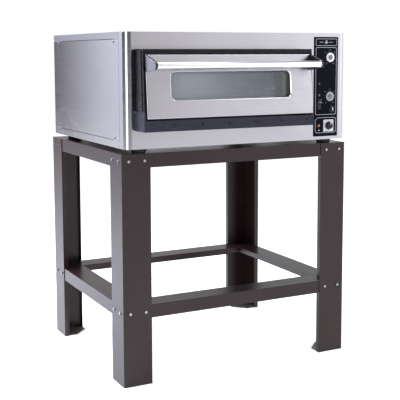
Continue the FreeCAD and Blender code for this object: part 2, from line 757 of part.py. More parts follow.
def make_cheek(label, mirrored):
    """A side of the surround: thick hinge block below, plate with a raised band above."""
    thick, plate = dim.cheek_thickness, dim.cheek_plate
    behind = dim.casing_gauge + dim.surround_gauge
    low, high, joint = dim.surround_bottom, dim.surround_top, dim.block_top
    inner = dim.surround_right - thick if mirrored else dim.surround_left + thick
    outer = dim.surround_right if mirrored else dim.surround_left
    body = new_body(label)
    hinge_block = sketch_on(body, "YZ", inner)
    polygon(hinge_block, [(behind, low), (-dim.block_reach, low), (-dim.block_reach, joint),
                          (behind, joint)])
    pad(body, hinge_block, thick, not mirrored)
    upper = sketch_on(body, "YZ", inner)
    polygon(upper, [(behind, joint), (-dim.cheek_reach_low, joint), (-dim.cheek_reach_high, high),
                    (behind, high)])
    pad(body, upper, plate, not mirrored)
    band = sketch_on(body, "YZ", inner)
    polygon(band, [(-dim.band_back, joint + 2), (-dim.band_reach_low, joint + 2),
                   (-dim.band_reach_high, high - 3), (-dim.band_back, high - 3)])
    pad(body, band, thick, not mirrored)
    flange = sketch_on(body, "YZ", inner)
    rectangle(flange, dim.casing_gauge, behind, low, high)
    pad(body, flange, thick + dim.surround_flange, not mirrored)
    bore = sketch_on(body, "YZ", inner)
    circle(bore, -dim.hinge_reach, dim.hinge_height, dim.hinge_radius + dim.hinge_clearance)
    pocket(body, bore, dim.hinge_bore_depth, mirrored)
    for reach, height, recess in cheek_screw_spots():
        face = outer - recess if mirrored else outer + recess
        hole = sketch_on(body, "YZ", face)
        circle(hole, -reach, height, dim.screw_hole_radius)
        pocket(body, hole, dim.cheek_screw_depth, not mirrored)
    keep(body, label)


def make_crossbars():
    """Lintel and sill, folded channels between the cheeks, open to the back."""
    gauge = dim.surround_gauge
    behind = dim.casing_gauge + gauge
    left = dim.surround_left + dim.cheek_thickness
    span = dim.surround_right - dim.surround_left - dim.cheek_thickness * 2
    low, high, flange = dim.surround_bottom, dim.surround_top, dim.surround_flange

    body = new_body("surround_lintel")
    reach, under = dim.lintel_reach, dim.lintel_bottom
    section = sketch_on(body, "YZ", left)
    polygon(section, [(dim.casing_gauge, high + flange), (dim.casing_gauge, high), (-reach, high),
                      (-reach, under), (behind, under), (behind, under + gauge),
                      (gauge - reach, under + gauge), (gauge - reach, high - gauge),
                      (behind, high - gauge), (behind, high + flange)])
    pad(body, section, span)
    keep(body, "surround_lintel")

    body = new_body("surround_sill")
    reach, top = dim.sill_reach, dim.sill_top
    section = sketch_on(body, "YZ", left)
    polygon(section, [(dim.casing_gauge, low - flange), (behind, low - flange),
                      (behind, low + gauge), (gauge - reach, low + gauge),
                      (gauge - reach, top - gauge), (behind, top - gauge), (behind, top),
                      (-reach, top), (-reach, low), (dim.casing_gauge, low)])
    pad(body, section, span)
    holes = sketch_on(body, "XZ", reach)
    for across in sill_screw_spots():
        circle(holes, across, dim.sill_screw_height, dim.screw_hole_radius)
    pocket(body, holes, gauge * 2)
    keep(body, "surround_sill")


# ---------------------------------------------------------------- chamber

def wall_holes(name, start, length, extra):
    """Cylinders along +x for the heater ends, the lamp and the two probes."""
    tools = []
    radius = dim.heater_radius + extra
    for height in (heater_low, heater_high):
        for middle in HEATER_BAYS:
            for side in (-1, 1):
                place = (start, middle + dim.heater_half * side, height)
                tools.append(rod(f"{name}_heater_hole", place, "x", radius, length))
    for height in (dim.probe_high, dim.probe_low):
        place = (start, dim.probe_depth, height)
        tools.append(rod(f"{name}_probe_hole", place, "x", dim.probe_radius + extra, length))
    return tools


def make_liner():
    """The baking chamber: a welded box with a facing round its mouth and stone ribs."""
    gauge = dim.liner_gauge
    left, right = dim.chamber_left, chamber_right
    low, high = dim.chamber_floor, chamber_top
    back = dim.chamber_depth + dim.liner_behind
    cheek = dim.cheek_thickness + dim.mouth_gap
    behind = dim.casing_gauge + dim.surround_gauge
    shell = block("liner_shell", left - gauge, right + gauge, -dim.liner_reach, back + gauge,
                  low - gauge, high + gauge)
    facing = block("liner_facing", dim.surround_left + cheek, dim.surround_right - cheek,
                   behind, behind + gauge, dim.sill_top + 1, dim.lintel_bottom - 1)
    hollow = block("liner_hollow", left, right, -dim.liner_reach - 1, back, low, high)
    ribs = [block("liner_rib", left, right, start, start + dim.rib_thickness,
                  low, low + dim.rib_height) for start in RIB_STARTS]
    hole_start, hole_length = right - 5, 20
    lamp_hole = rod("liner_lamp_hole", (hole_start, dim.lamp_depth, dim.lamp_height), "x",
                    dim.lamp_hole, hole_length)
    box = cut("liner_open", fuse("liner_outside", [shell, facing]), [hollow])
    whole = fuse("liner_with_ribs", [box] + ribs)
    mouth = door_body("liner_trim")
    section = sketch_on(mouth, "YZ", dim.casing_width * -0.5)
    rectangle(section, -dim.hinge_reach, dim.pan_back + dim.door_seal_gap, -dim.hinge_height,
              dim.casing_height - dim.hinge_height)
    pad(mouth, section, dim.casing_width)
    trimmed = cut("chamber_liner", whole,
                  [mouth, lamp_hole] + wall_holes("liner", hole_start, hole_length, 0.4))
    keep(trimmed, "chamber_liner")


def make_stones():
    """Two refractory stones side by side on the chamber's ribs."""
    low = dim.chamber_floor + dim.rib_height
    first = dim.chamber_left + dim.stone_inset
    top = dim.stone_thickness.value
    stones = []
    for name, left in (("stone_left", first),
                       ("stone_right", first + dim.stone_width + dim.stone_gap)):
        body = new_body(name, in_oven(0, 0, low))
        plan = sketch_on(body, "XY")
        rectangle(plan, left, left + dim.stone_width, dim.stone_front, dim.stone_back)
        pad(body, plan, dim.stone_thickness)
        soften(body, "Chamfer", lambda edge: edge.BoundBox.ZMin > top - 0.01, dim.stone_bevel)
        stones.append(body)
    group("baking_stones", stones)


def make_heaters():
    """Tubular elements bent to a U, three above and three below, with ends to the right."""
    start, half, radius = dim.heater_start.value, dim.heater_half.value, dim.heater_radius.value
    end = dim.heater_end.value
    legs = [Part.LineSegment(Vector(end, -half, 0), Vector(start, -half, 0)).toShape(),
            Part.Arc(Vector(start, -half, 0), Vector(start - half, 0, 0),
                     Vector(start, half, 0)).toShape(),
            Part.LineSegment(Vector(start, half, 0), Vector(end, half, 0)).toShape()]
    path = Part.Wire(legs)
    ring = Part.Circle(Vector(end, -half, 0), Vector(1, 0, 0), radius)
    section = Part.Wire([ring.toShape()])
    element = doc.addObject("Part::Feature", "heater_element")
    element.Shape = path.makePipeShell([section], True, False)
    for label, height in (("heater_bottom", heater_low), ("heater_top", heater_high)):
        scatter(label, element, [at_oven(0, middle, height) for middle in HEATER_BAYS])


def make_insulation():
    """Mineral wool above, below and round the chamber."""
    gap = dim.fit_gap
    left, right = dim.insulation_left, dim.insulation_right
    front, back = dim.insulation_front, dim.insulation_back
    low, high = dim.chamber_floor - dim.liner_gauge, chamber_top + dim.liner_gauge
    under = block("slab_under", left, right, front, back, dim.insulation_low, low - gap)
    over = block("slab_over", left, right, front, back, high + gap, dim.insulation_high)
    group("insulation_slabs", [under, over])
    outside = block("wrap_outside", left, right, front, back, low, high)
    inside = block("wrap_inside", dim.chamber_left - dim.liner_gauge - gap, chamber_right + 3.2,
                   front - 1, dim.chamber_depth + dim.liner_behind + dim.liner_gauge + gap,
                   low - 1, high + 1)
    hole_length = 40
    lamp = rod("wrap_lamp_hole", (chamber_right, dim.lamp_depth, dim.lamp_height), "x",
               dim.lamp_radius + 1, hole_length)
    wrap = cut("insulation_wrap", outside,
               [inside, lamp] + wall_holes("wrap", chamber_right, hole_length, 1))
    keep(wrap, "insulation_wrap")


def make_heat_shield():
    """The sheet wall between the hot side and the electrics, with a foot flange."""
    gauge, left = dim.casing_gauge, dim.shield_left
    foot, top = gauge + 0.1, dim.casing_height - gauge - 0.1
    right, front = left + dim.shield_foot, dim.shield_front
    body = new_body("heat_shield")
    section = sketch_on(body, "XZ", -front)
    polygon(section, [(left, foot), (right, foot), (right, foot + gauge),
                      (left + gauge, foot + gauge), (left + gauge, top), (left, top)])
    pad(body, section, dim.casing_depth - front * 2 + 2, True)
    holes = sketch_on(body, "YZ", left)
    circle(holes, dim.lamp_depth, dim.lamp_height, dim.lamp_radius + 1)
    for height in (heater_low, heater_high):
        for middle in HEATER_BAYS:
            for side in (-1, 1):
                circle(holes, middle + dim.heater_half * side, height, dim.heater_radius + 2)
    for height in (dim.probe_high, dim.probe_low):
        circle(holes, dim.probe_depth, height, dim.probe_radius + 1)
    pocket(body, holes, gauge, True)
    keep(body, "heat_shield")


def make_chamber_lamp():
    """Glass disc, cup housing and bulb, outside the chamber's right wall."""
    wall = chamber_right + dim.liner_gauge
    outer = dim.lamp_radius
    spot = in_oven(wall, dim.lamp_depth, dim.lamp_height)

    glass, deep, skin = dim.lamp_glass_radius, dim.lamp_cup_depth, 1.5
    body = new_body("lamp_housing", spot, Vector(0, 1, 0), 90)
    revolve(body, [(glass + 0.2, 0), (outer + 7, 0), (outer + 7, skin), (outer, skin),
                   (outer, deep), (9, deep), (9, deep - skin), (outer - skin, deep - skin),
                   (outer - skin, 4.2), (glass + 0.2, 4.2)])
    keep(body, "lamp_housing")

    body = new_body("lamp_lens", spot, Vector(0, 1, 0), 90)
    revolve(body, [(0, 0), (glass, 0), (glass, 3), (glass - 1, 4), (0, 4)])
    keep(body, "lamp_lens")

    body = new_body("lamp_bulb", spot, Vector(0, 1, 0), 90)
    revolve(body, [(0, 10), (7, 11), (11, 15), (12, 20), (11, 25), (8.5, 30), (8.5, 52), (6, 56),
                   (0, 56)])
    keep(body, "lamp_bulb")


# ---------------------------------------------------------------- electrics

def make_contactors():
    """Two power relays on the heat shield: a stepped body with a raised coil block."""
    left = dim.shield_left + dim.casing_gauge
    step, right = left + 30, left + 80
    wide = 45
    pieces = []
    for name, start in (("contactor_near", 420), ("contactor_far", 475)):
        foot = block(f"{name}_foot", left, step, start, start + wide, 180, 262)
        front = block(f"{name}_front", step, right, start, start + wide, 192, 250)
        pieces.append(fuse(name, [foot, front]))
    group("contactors", pieces)


def make_terminal_block():
    """Six screw chambers in a row on the base tray."""
    left, pitch, wall = 826, 12, 4
    front, low, high = 690, 12, 30
    right = left + 6 * pitch
    base = block("terminal_base", left, right, front, front + 32, dim.casing_gauge, high)
    slots = []
    for slot_left in range(left + wall, right, pitch):
        slots.append(block("terminal_slot", slot_left, slot_left + pitch - wall, front - 4,
                           front + 10, low, high + 4))
    keep(cut("terminal_block", base, slots), "terminal_block")


def make_gland():
    """The supply inlet: a threaded bush through the back panel with its cap and nut."""
    spot = in_oven(dim.gland_across, dim.casing_depth, dim.gland_up)
    bore, thread, reach, flange = dim.gland_bore, dim.gland_thread, dim.gland_reach, 18
    body = new_body("cable_gland", spot, Vector(1, 0, 0), -90)
    revolve(body, [(bore, -14), (thread, -14), (thread, 0), (flange, 0), (flange, 7), (15.5, 8),
                   (15.5, reach - 5), (thread, reach), (bore, reach)])
    nut = new_body("gland_nut", spot, Vector(1, 0, 0), -90)
    revolve(nut, [(thread + 0.1, -7), (flange, -7), (flange, -1.6), (thread + 0.1, -1.6)])
    group("cable_gland", [body, nut])


def smooth_path(points, bend):
    """Straight runs joined by tangent arcs of one radius, for right-angled corners."""
    edges = []
    start = points[0]
    for before, corner, after in zip(points, points[1:], points[2:]):
        back = (before - corner).normalize()
        ahead = (after - corner).normalize()
        enter, leave = corner + back * bend, corner + ahead * bend
        middle = corner + (back + ahead) * bend - (back + ahead).normalize() * bend
        edges.append(Part.LineSegment(start, enter).toShape())
        edges.append(Part.Arc(enter, middle, leave).toShape())
        start = leave
    edges.append(Part.LineSegment(start, points[-1]).toShape())
    return Part.Wire(edges)


def control_shaft(name, across, up, face):
    """A round shaft from inside a control's case out into the knob that starts at face."""
    front = face + dim.shaft_grip
    return rod(name, (across, -front, up), "y", dim.shaft_radius, front + dim.shaft_root)


def make_thermostats():
    """Two capillary thermostats behind the panel, their bulbs reaching into the chamber."""
    across, half, deep = dim.dial_across, dim.thermostat_half, dim.thermostat_depth
    pieces = []
    for name, up, probe in (("thermostat_high", dim.dial_high, dim.probe_high),
                            ("thermostat_low", dim.dial_low, dim.probe_low)):
        case = block(f"{name}_case", across - half, across + half, 0, deep, up - half, up + half)
        shaft = control_shaft(f"{name}_shaft", across, up, knob_face)
        outlet = up - 20 if name == "thermostat_high" else probe
        corners = [(across, deep - 4, outlet), (across, dim.probe_depth, outlet),
                   (across, dim.probe_depth, probe), (chamber_right - 12, dim.probe_depth, probe)]
        if name == "thermostat_low":
            del corners[1]
        route = [Vector(*(size.value for size in in_oven(*corner))) for corner in corners]
        ring = Part.Circle(route[0], Vector(0, 1, 0), dim.capillary_radius.value)
        section = Part.Wire([ring.toShape()])
        path = smooth_path(route, dim.capillary_bend.value)
        capillary = doc.addObject("Part::Feature", f"{name}_capillary")
        capillary.Shape = path.makePipeShell([section], True, False)
        bulb = rod(f"{name}_bulb", (chamber_right - 50, dim.probe_depth, probe), "x",
                   dim.probe_radius, dim.probe_length)
        pieces.append(fuse(name, [case, shaft, capillary, bulb]))
    group("thermostats", pieces)


def make_cam_switches():
    """Bodies of the element selector and of the main switch, each with its shaft."""
    pieces = []
    for name, across, up, half, deep, face in (
            ("selector_body", dim.selector_across, dim.selector_up, 14, 46, knob_face),
            ("main_switch_body", dim.switch_across, dim.switch_up, 20, 58,
             knob_face + dim.switch_plate_height)):
        case = block(f"{name}_case", across - half, across + half, 0, deep, up - half, up + half)
        pieces.append(fuse(name, [case, control_shaft(f"{name}_shaft", across, up, face)]))
    group("cam_switch_bodies", pieces)


# ---------------------------------------------------------------- controls

LAMP_HEIGHTS = (223, 178, 56)


def make_control_panel():
    """The black plate that carries the controls, flat on the fascia."""
    body = new_body("control_panel")
    outline = sketch_on(body, "XZ")
    rounded_rectangle(outline, dim.panel_left, dim.panel_right, dim.panel_bottom, dim.panel_top,
                      dim.panel_round)
    pad(body, outline, dim.panel_thickness)
    holes = sketch_on(body, "XZ", dim.panel_thickness)
    for across, up in ((dim.dial_across, dim.dial_high), (dim.dial_across, dim.dial_low),
                       (dim.selector_across, dim.selector_up),
                       (dim.switch_across, dim.switch_up)):
        circle(holes, across, up, dim.shaft_radius + 1)
    for up in LAMP_HEIGHTS:
        circle(holes, dim.lamp_across, up, 4.2)
    wide, tall = dim.rocker_half_width + 1.2, dim.rocker_half_height + 1.2
    rectangle(holes, dim.lamp_across - wide, dim.lamp_across + wide,
              dim.rocker_up - tall, dim.rocker_up + tall)
    pocket(body, holes, dim.panel_thickness)
    keep(body, "control_panel")


def make_knob(label, across, up, face, skirt, skirt_height, grip, height, bar):
    """A turned knob with a skirt, a grip, a shaft bore and a raised pointer bar."""
    body = new_body(label, in_oven(across, -face, up), Vector(1, 0, 0), 90)
    bore = dim.shaft_radius + dim.hinge_clearance
    deep = dim.shaft_grip + 0.5
    revolve(body, [(bore, 0), (skirt - 1, 0), (skirt, 1), (skirt - 0.6, skirt_height),
                   (grip + 1.5, skirt_height + 0.6), (grip, skirt_height + 2),
                   (grip - 0.6, height - 1), (grip - 1.6, height), (0, height), (0, deep),
                   (bore, deep)])
    pointer = sketch_on(body, "XY", height)
    rounded_rectangle(pointer, -bar, bar, grip * -0.8, grip - 2.2, bar * 0.9)
    pad(body, pointer, dim.pointer_height)
    keep(body, label)


def make_knobs():
    for label, up in (("thermostat_knob_top", dim.dial_high),
                      ("thermostat_knob_bottom", dim.dial_low)):
        make_knob(label, dim.dial_across, up, knob_face, 19, 3.5, 8.8, 8.5, 1.4)
    make_knob("selector_knob", dim.selector_across, dim.selector_up, knob_face, 12, 2.5, 7.5,
              10, 1.2)
    make_knob("main_switch_knob", dim.switch_across, dim.switch_up,
              knob_face + dim.switch_plate_height, 16.5, 3, 12.5, 14.5, 3.2)


def make_switch_plate():
    """The square bezel under the main switch's knob."""
    body = new_body("main_switch_plate")
    half, height = dim.switch_plate_half, dim.switch_plate_height
    across, up = dim.switch_across, dim.switch_up
    outline = sketch_on(body, "XZ", dim.panel_thickness)
    rounded_rectangle(outline, across - half, across + half, up - half, up + half, 3)
    pad(body, outline, height)
    hole = sketch_on(body, "XZ", dim.panel_thickness + height)
    circle(hole, across, up, dim.shaft_radius + 1)
    pocket(body, hole, height)
    keep(body, "main_switch_plate")


def make_rocker():
    """A rocker switch: a framed housing, and the rocker on its two side pins."""
    across, up, front = dim.lamp_across, dim.rocker_up, dim.panel_thickness
    wide, tall = dim.rocker_half_width, dim.rocker_half_height
    pin, axis = dim.rocker_pin_radius, dim.rocker_axis_depth
    body = new_body("rocker_housing")
    frame = sketch_on(body, "XZ", front)
    rectangle(frame, across - wide - 2, across + wide + 2, up - tall - 2.2, up + tall + 2.2)
    pad(body, frame, 2)
    sleeve = sketch_on(body, "XZ", front)
    rectangle(sleeve, across - wide - 1, across + wide + 1, up - tall - 1, up + tall + 1)
    pad(body, sleeve, 20, True)
    opening = sketch_on(body, "XZ", front + 2)
    rectangle(opening, across - wide, across + wide, up - tall, up + tall)
    pocket(body, opening, 14)
    pins = sketch_on(body, "YZ", across - wide - 0.6)
    circle(pins, -axis, up, pin + dim.hinge_clearance)
    pocket(body, pins, (wide + 0.6) * 2, True)
    keep(body, "rocker_housing")

    body = new_body("light_rocker", in_oven(across, -axis, up), Vector(1, 0, 0), -dim.rocker_tilt)
    side = sketch_on(body, "YZ", 0.4 - wide)
    polygon(side, [(2, -7), (-5.2, -7.4), (-4.2, 0), (-5.2, 7.4), (2, 7)])
    pad(body, side, (wide - 0.4) * 2)
    pivot = sketch_on(body, "YZ", -wide - 0.4)
    circle(pivot, 0, 0, pin)
    pad(body, pivot, (wide + 0.4) * 2)
    keep(body, "light_rocker")


def make_indicator_lamps():
    """Three signal lamps with domed lenses, pushed through the panel."""
    lamp = turned("indicator_lamp", [(0, -22), (4, -22), (4, 0), (5.2, 0), (5.2, 1), (4.2, 2.4),
                                     (0, 3)])
    scatter("indicator_lamps", lamp,
            [at_oven(dim.lamp_across, -dim.panel_thickness, up, OUT_FRONT)
             for up in LAMP_HEIGHTS])


# ---------------------------------------------------------------- door

def bracket_screw_spots():
    inset = leaf_half - 5.5
    return [(side * inset.value, height.value) for side in (-1, 1)
            for height in (dim.bracket_screw_low, dim.bracket_screw_high)]


def make_door_skin():
    """The stainless front of the leaf: a shallow tray with a drawn-in window."""
    half, low, high = leaf_half, -dim.leaf_bottom, dim.leaf_top
    gauge, front, back = dim.leaf_gauge, dim.leaf_front, dim.leaf_back
    body = door_body("door_skin")
    outline = sketch_on(body, "XZ", -back)
    rectangle(outline, -half, half, low, high)
    pad(body, outline, front + back)
    depth = back.value - 0.01
    soften(body, "Fillet", lambda edge: edge.BoundBox.YMax < depth or edge.BoundBox.YLength > 1,
           dim.leaf_round)
    inside = sketch_on(body, "XZ", -back)
    rectangle(inside, gauge - half, half - gauge, low + gauge, high - gauge)
    pocket(body, inside, front + back - gauge, True)
    rim = sketch_on(body, "XZ", front - dim.window_depth)
    rounded_rectangle(rim, -dim.window_half - gauge, dim.window_half + gauge,
                      dim.window_low - gauge, dim.window_high + gauge, dim.window_round + gauge)
    pad(body, rim, dim.window_depth - gauge * 0.5)
    window = sketch_on(body, "XZ", front)
    rounded_rectangle(window, -dim.window_half, dim.window_half, dim.window_low, dim.window_high,
                      dim.window_round)
    pocket(body, window, front + back)
    pins = sketch_on(body, "YZ", -half)
    circle(pins, 0, 0, dim.hinge_radius + dim.hinge_clearance)
    pocket(body, pins, half * 2, True)
    screws = sketch_on(body, "XZ", front)
    for across, height in bracket_screw_spots():
        circle(screws, across, height, dim.screw_hole_radius)
    pocket(body, screws, gauge * 2)
    keep(body, "door_skin")


def pan_window(sketch, gap):
    """The inner window's outline, widened by a gap."""
    rounded_rectangle(sketch, -dim.pan_window_half - gap, dim.pan_window_half + gap,
                      dim.pan_window_low - gap, dim.pan_window_high + gap, dim.pan_window_round)


def make_door_pan():
    """The inner tray of the door: a rim flange inside the skin and a deep box behind it."""
    gauge, back = dim.pan_gauge, dim.pan_back
    start = dim.leaf_back - gauge
    body = door_body("door_inner_pan")
    rim = sketch_on(body, "XZ", -dim.leaf_back)
    inset = dim.leaf_gauge + dim.fit_gap
    rectangle(rim, inset - leaf_half, leaf_half - inset, inset - dim.leaf_bottom,
              dim.leaf_top - inset)
    pad(body, rim, gauge)
    deep = sketch_on(body, "XZ", -back)
    rectangle(deep, -dim.pan_half, dim.pan_half, dim.pan_low, dim.pan_high)
    pad(body, deep, back - start)
    rear = back.value - 0.01
    soften(body, "Fillet", lambda edge: edge.BoundBox.YMin > rear, 3)
    inside = sketch_on(body, "XZ", -start)
    rectangle(inside, gauge - dim.pan_half, dim.pan_half - gauge, dim.pan_low + gauge,
              dim.pan_high - gauge)
    pocket(body, inside, back - start - gauge)
    window = sketch_on(body, "XZ", -start)
    pan_window(window, 0)
    pocket(body, window, back)
    keep(body, "door_inner_pan")


def make_door_filling():
    """Both window panes and the mineral wool between skin and pan."""
    thick, margin = dim.glass_thickness, dim.glass_margin
    front = dim.window_depth - dim.leaf_front
    body = door_body("door_glass_outer")
    pane = sketch_on(body, "XZ", -front - thick)
    rectangle(pane, -dim.window_half - margin, dim.window_half + margin, dim.window_low - margin,
              dim.window_high + margin)
    pad(body, pane, thick)
    keep(body, "door_glass_outer")

    inner_face = dim.pan_back - dim.pan_gauge
    body = door_body("door_glass_inner")
    pane = sketch_on(body, "XZ", -inner_face)
    lap = dim.inner_glass_margin
    rectangle(pane, -dim.pan_window_half - lap, dim.pan_window_half + lap,
              dim.pan_window_low - lap, dim.pan_window_high + lap)
    pad(body, pane, thick)
    keep(body, "door_glass_inner")

    body = door_body("door_insulation")
    gap = dim.wool_gap
    wool = sketch_on(body, "XZ", thick - inner_face + gap)
    edge = dim.pan_gauge + gap
    rectangle(wool, edge - dim.pan_half, dim.pan_half - edge, dim.pan_low + edge,
              dim.pan_high - edge)
    pan_window(wool, dim.wool_window_gap)
    pad(body, wool, inner_face - thick - dim.leaf_back - gap * 2)
    keep(body, "door_insulation")


def bracket_outline(sketch):
    """A triangle on the leaf's face whose point is rounded about the handle's axis."""
    face, low, high = -dim.leaf_front, dim.bracket_low, dim.bracket_high
    across, up, nose = -dim.handle_out, dim.handle_up, dim.bracket_nose
    centre = Vector(across.value, up.value, 0)

    def tangent(corner, side):
        to_corner = corner - centre
        spread = math.acos(nose.value / to_corner.Length)
        turn = math.atan2(to_corner.y, to_corner.x) + side * spread
        return turn, centre + Vector(math.cos(turn), math.sin(turn), 0) * nose.value

    bottom = Vector(face.value, low.value, 0)
    top = Vector(face.value, high.value, 0)
    low_turn, low_touch = tangent(bottom, -1)
    high_turn, high_touch = tangent(top, 1)
    sketch.addGeometry(Part.LineSegment(bottom, top))
    sketch.addGeometry(Part.LineSegment(top, high_touch))
    round_off = Part.Circle(centre, Vector(0, 0, 1), nose.value)
    sketch.addGeometry(Part.ArcOfCircle(round_off, high_turn, low_turn + 2 * math.pi))
    sketch.addGeometry(Part.LineSegment(low_touch, bottom))
    sketch.addConstraint(Sketcher.Constraint("Coincident", 0, 2, 1, 1))
    sketch.addConstraint(Sketcher.Constraint("Tangent", 1, 2, 2, 1))
    sketch.addConstraint(Sketcher.Constraint("Tangent", 2, 2, 3, 1))
    sketch.addConstraint(Sketcher.Constraint("Coincident", 3, 2, 0, 1))
    bind_point(sketch, 0, 1, face, low)
    bind_point(sketch, 0, 2, face, high)
    bind_point(sketch, 2, 3, across, up)
    bind_radius(sketch, 2, nose)


def make_handle():
    """Two plate brackets with spigots, and the tube that sits on the spigots."""
    thick, half = dim.bracket_thickness, leaf_half
    brackets = []
    for name, side in (("handle_bracket_left", -1), ("handle_bracket_right", 1)):
        body = door_body(name)
        plate = sketch_on(body, "YZ", half * side)
        bracket_outline(plate)
        pad(body, plate, thick, side > 0)
        spigot = sketch_on(body, "YZ", half * side)
        circle(spigot, -dim.handle_out, dim.handle_up,
               dim.handle_radius - dim.handle_wall - 0.1)
        pad(body, spigot, thick + dim.spigot_length, side > 0)
        holes = sketch_on(body, "XZ", dim.leaf_front)
        for across, height in bracket_screw_spots():
            if across * side > 0:
                circle(holes, across, height, dim.screw_hole_radius)
        pocket(body, holes, 12, True)
        brackets.append(body)
    group("handle_brackets", brackets)

    body = door_body("handle_tube")
    ring = sketch_on(body, "YZ", thick - half)
    circle(ring, -dim.handle_out, dim.handle_up, dim.handle_radius)
    circle(ring, -dim.handle_out, dim.handle_up, dim.handle_radius - dim.handle_wall)
    pad(body, ring, (half - thick) * 2)
    keep(body, "handle_tube")


def make_door_fixings():
    """Hinge pins with a collar inside the leaf, and the screws that hold the brackets."""
    reach = dim.hinge_bore_depth + dim.leaf_gap - 0.5
    pin = turned("hinge_pin", [
        (0, -20), (dim.hinge_radius, -20), (dim.hinge_radius, -6), (6, -6),
        (6, -dim.leaf_gauge - 0.1), (dim.hinge_radius, -dim.leaf_gauge - 0.1),
        (dim.hinge_radius, reach - 0.6), (dim.hinge_radius - 0.6, reach), (0, reach)])
    door = door_placement()
    scatter("hinge_pins", pin, [
        door.multiply(Placement(Vector(-leaf_half.value, 0, 0), OUT_LEFT)),
        door.multiply(Placement(Vector(leaf_half.value, 0, 0), OUT_RIGHT))])

    screw = turned("bracket_screw", [
        (0, -13), (dim.screw_radius, -13), (dim.screw_radius, 0), (3.2, 0), (3.2, 1.6),
        (2.2, 2.4), (0, 2.6)])
    inside = dim.leaf_gauge.value - dim.leaf_front.value
    scatter("door_screws", screw, [
        door.multiply(Placement(Vector(across, inside, height), OUT_BACK))
        for across, height in bracket_screw_spots()])


# ---------------------------------------------------------------- build and export

def check_and_export():
    doc.recompute()
    for thing in doc.Objects:
        if "Invalid" in thing.State or "Error" in thing.State:
            raise RuntimeError(f"{thing.Name} failed: {thing.State}")
    os.makedirs("parts", exist_ok=True)
    for label, thing in nodes.items():
        shape = thing.Shape
        if shape.isNull() or not shape.isValid() or not shape.Solids:
            raise RuntimeError(f"{label} has no valid solid")
        shape.exportStep(f"parts/{label}.step")
        print(f"{label:26s} {len(shape.Solids):3d} solids {shape.Volume / 1000:10.2f} cm3")


def build():
    for corner in stand_corners():
        make_leg(*corner)
    make_rails()
    make_foot_plates()
    make_stand_fasteners()

    make_oven_feet()
    make_pan("base_tray", dim.tray_lip, 0, False)
    make_pan("top_cover", dim.cover_lip, dim.casing_height, True)
    make_fascia()
    make_side_panels()
    make_back_panel()
    make_posts()
    make_casing_screws()

    make_cheek("surround_cheek_left", False)
    make_cheek("surround_cheek_right", True)
    make_crossbars()

    make_liner()
    make_stones()
    make_heaters()
    make_insulation()
    make_heat_shield()
    make_chamber_lamp()

    make_contactors()
    make_terminal_block()
    make_gland()
    make_thermostats()
    make_cam_switches()

    make_control_panel()
    make_knobs()
    make_switch_plate()
    make_rocker()
    make_indicator_lamps()

    make_door_skin()
    make_door_pan()
    make_door_filling()
    make_handle()
    make_door_fixings()

    check_and_export()


build()
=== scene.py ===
"""Looks of a deck oven on its open stand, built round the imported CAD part. Units are metres."""

import math

import bmesh
import bpy
from mathutils import Matrix, Vector


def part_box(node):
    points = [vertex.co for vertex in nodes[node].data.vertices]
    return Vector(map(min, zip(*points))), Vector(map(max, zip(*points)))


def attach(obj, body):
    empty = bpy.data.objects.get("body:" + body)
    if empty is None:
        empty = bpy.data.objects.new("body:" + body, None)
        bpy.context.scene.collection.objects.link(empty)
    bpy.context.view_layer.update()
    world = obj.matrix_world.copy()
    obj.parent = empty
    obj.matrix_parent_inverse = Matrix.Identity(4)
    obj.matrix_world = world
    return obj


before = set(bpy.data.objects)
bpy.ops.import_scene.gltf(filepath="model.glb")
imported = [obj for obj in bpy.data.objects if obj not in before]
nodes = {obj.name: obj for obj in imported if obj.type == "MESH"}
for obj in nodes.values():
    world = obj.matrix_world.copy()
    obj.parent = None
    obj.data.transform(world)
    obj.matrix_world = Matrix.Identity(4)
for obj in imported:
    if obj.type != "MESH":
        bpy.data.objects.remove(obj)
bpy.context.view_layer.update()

MM = 0.001
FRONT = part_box("front_fascia")[0].y       # the fascia's plane
SKIRT_FACE = FRONT - 6.9 * MM             # the front of the thermostat knobs' skirts
HINGE = Vector((-0.0850, FRONT - 77 * MM, 1.026))

# ---------------------------------------------------------------- finishes


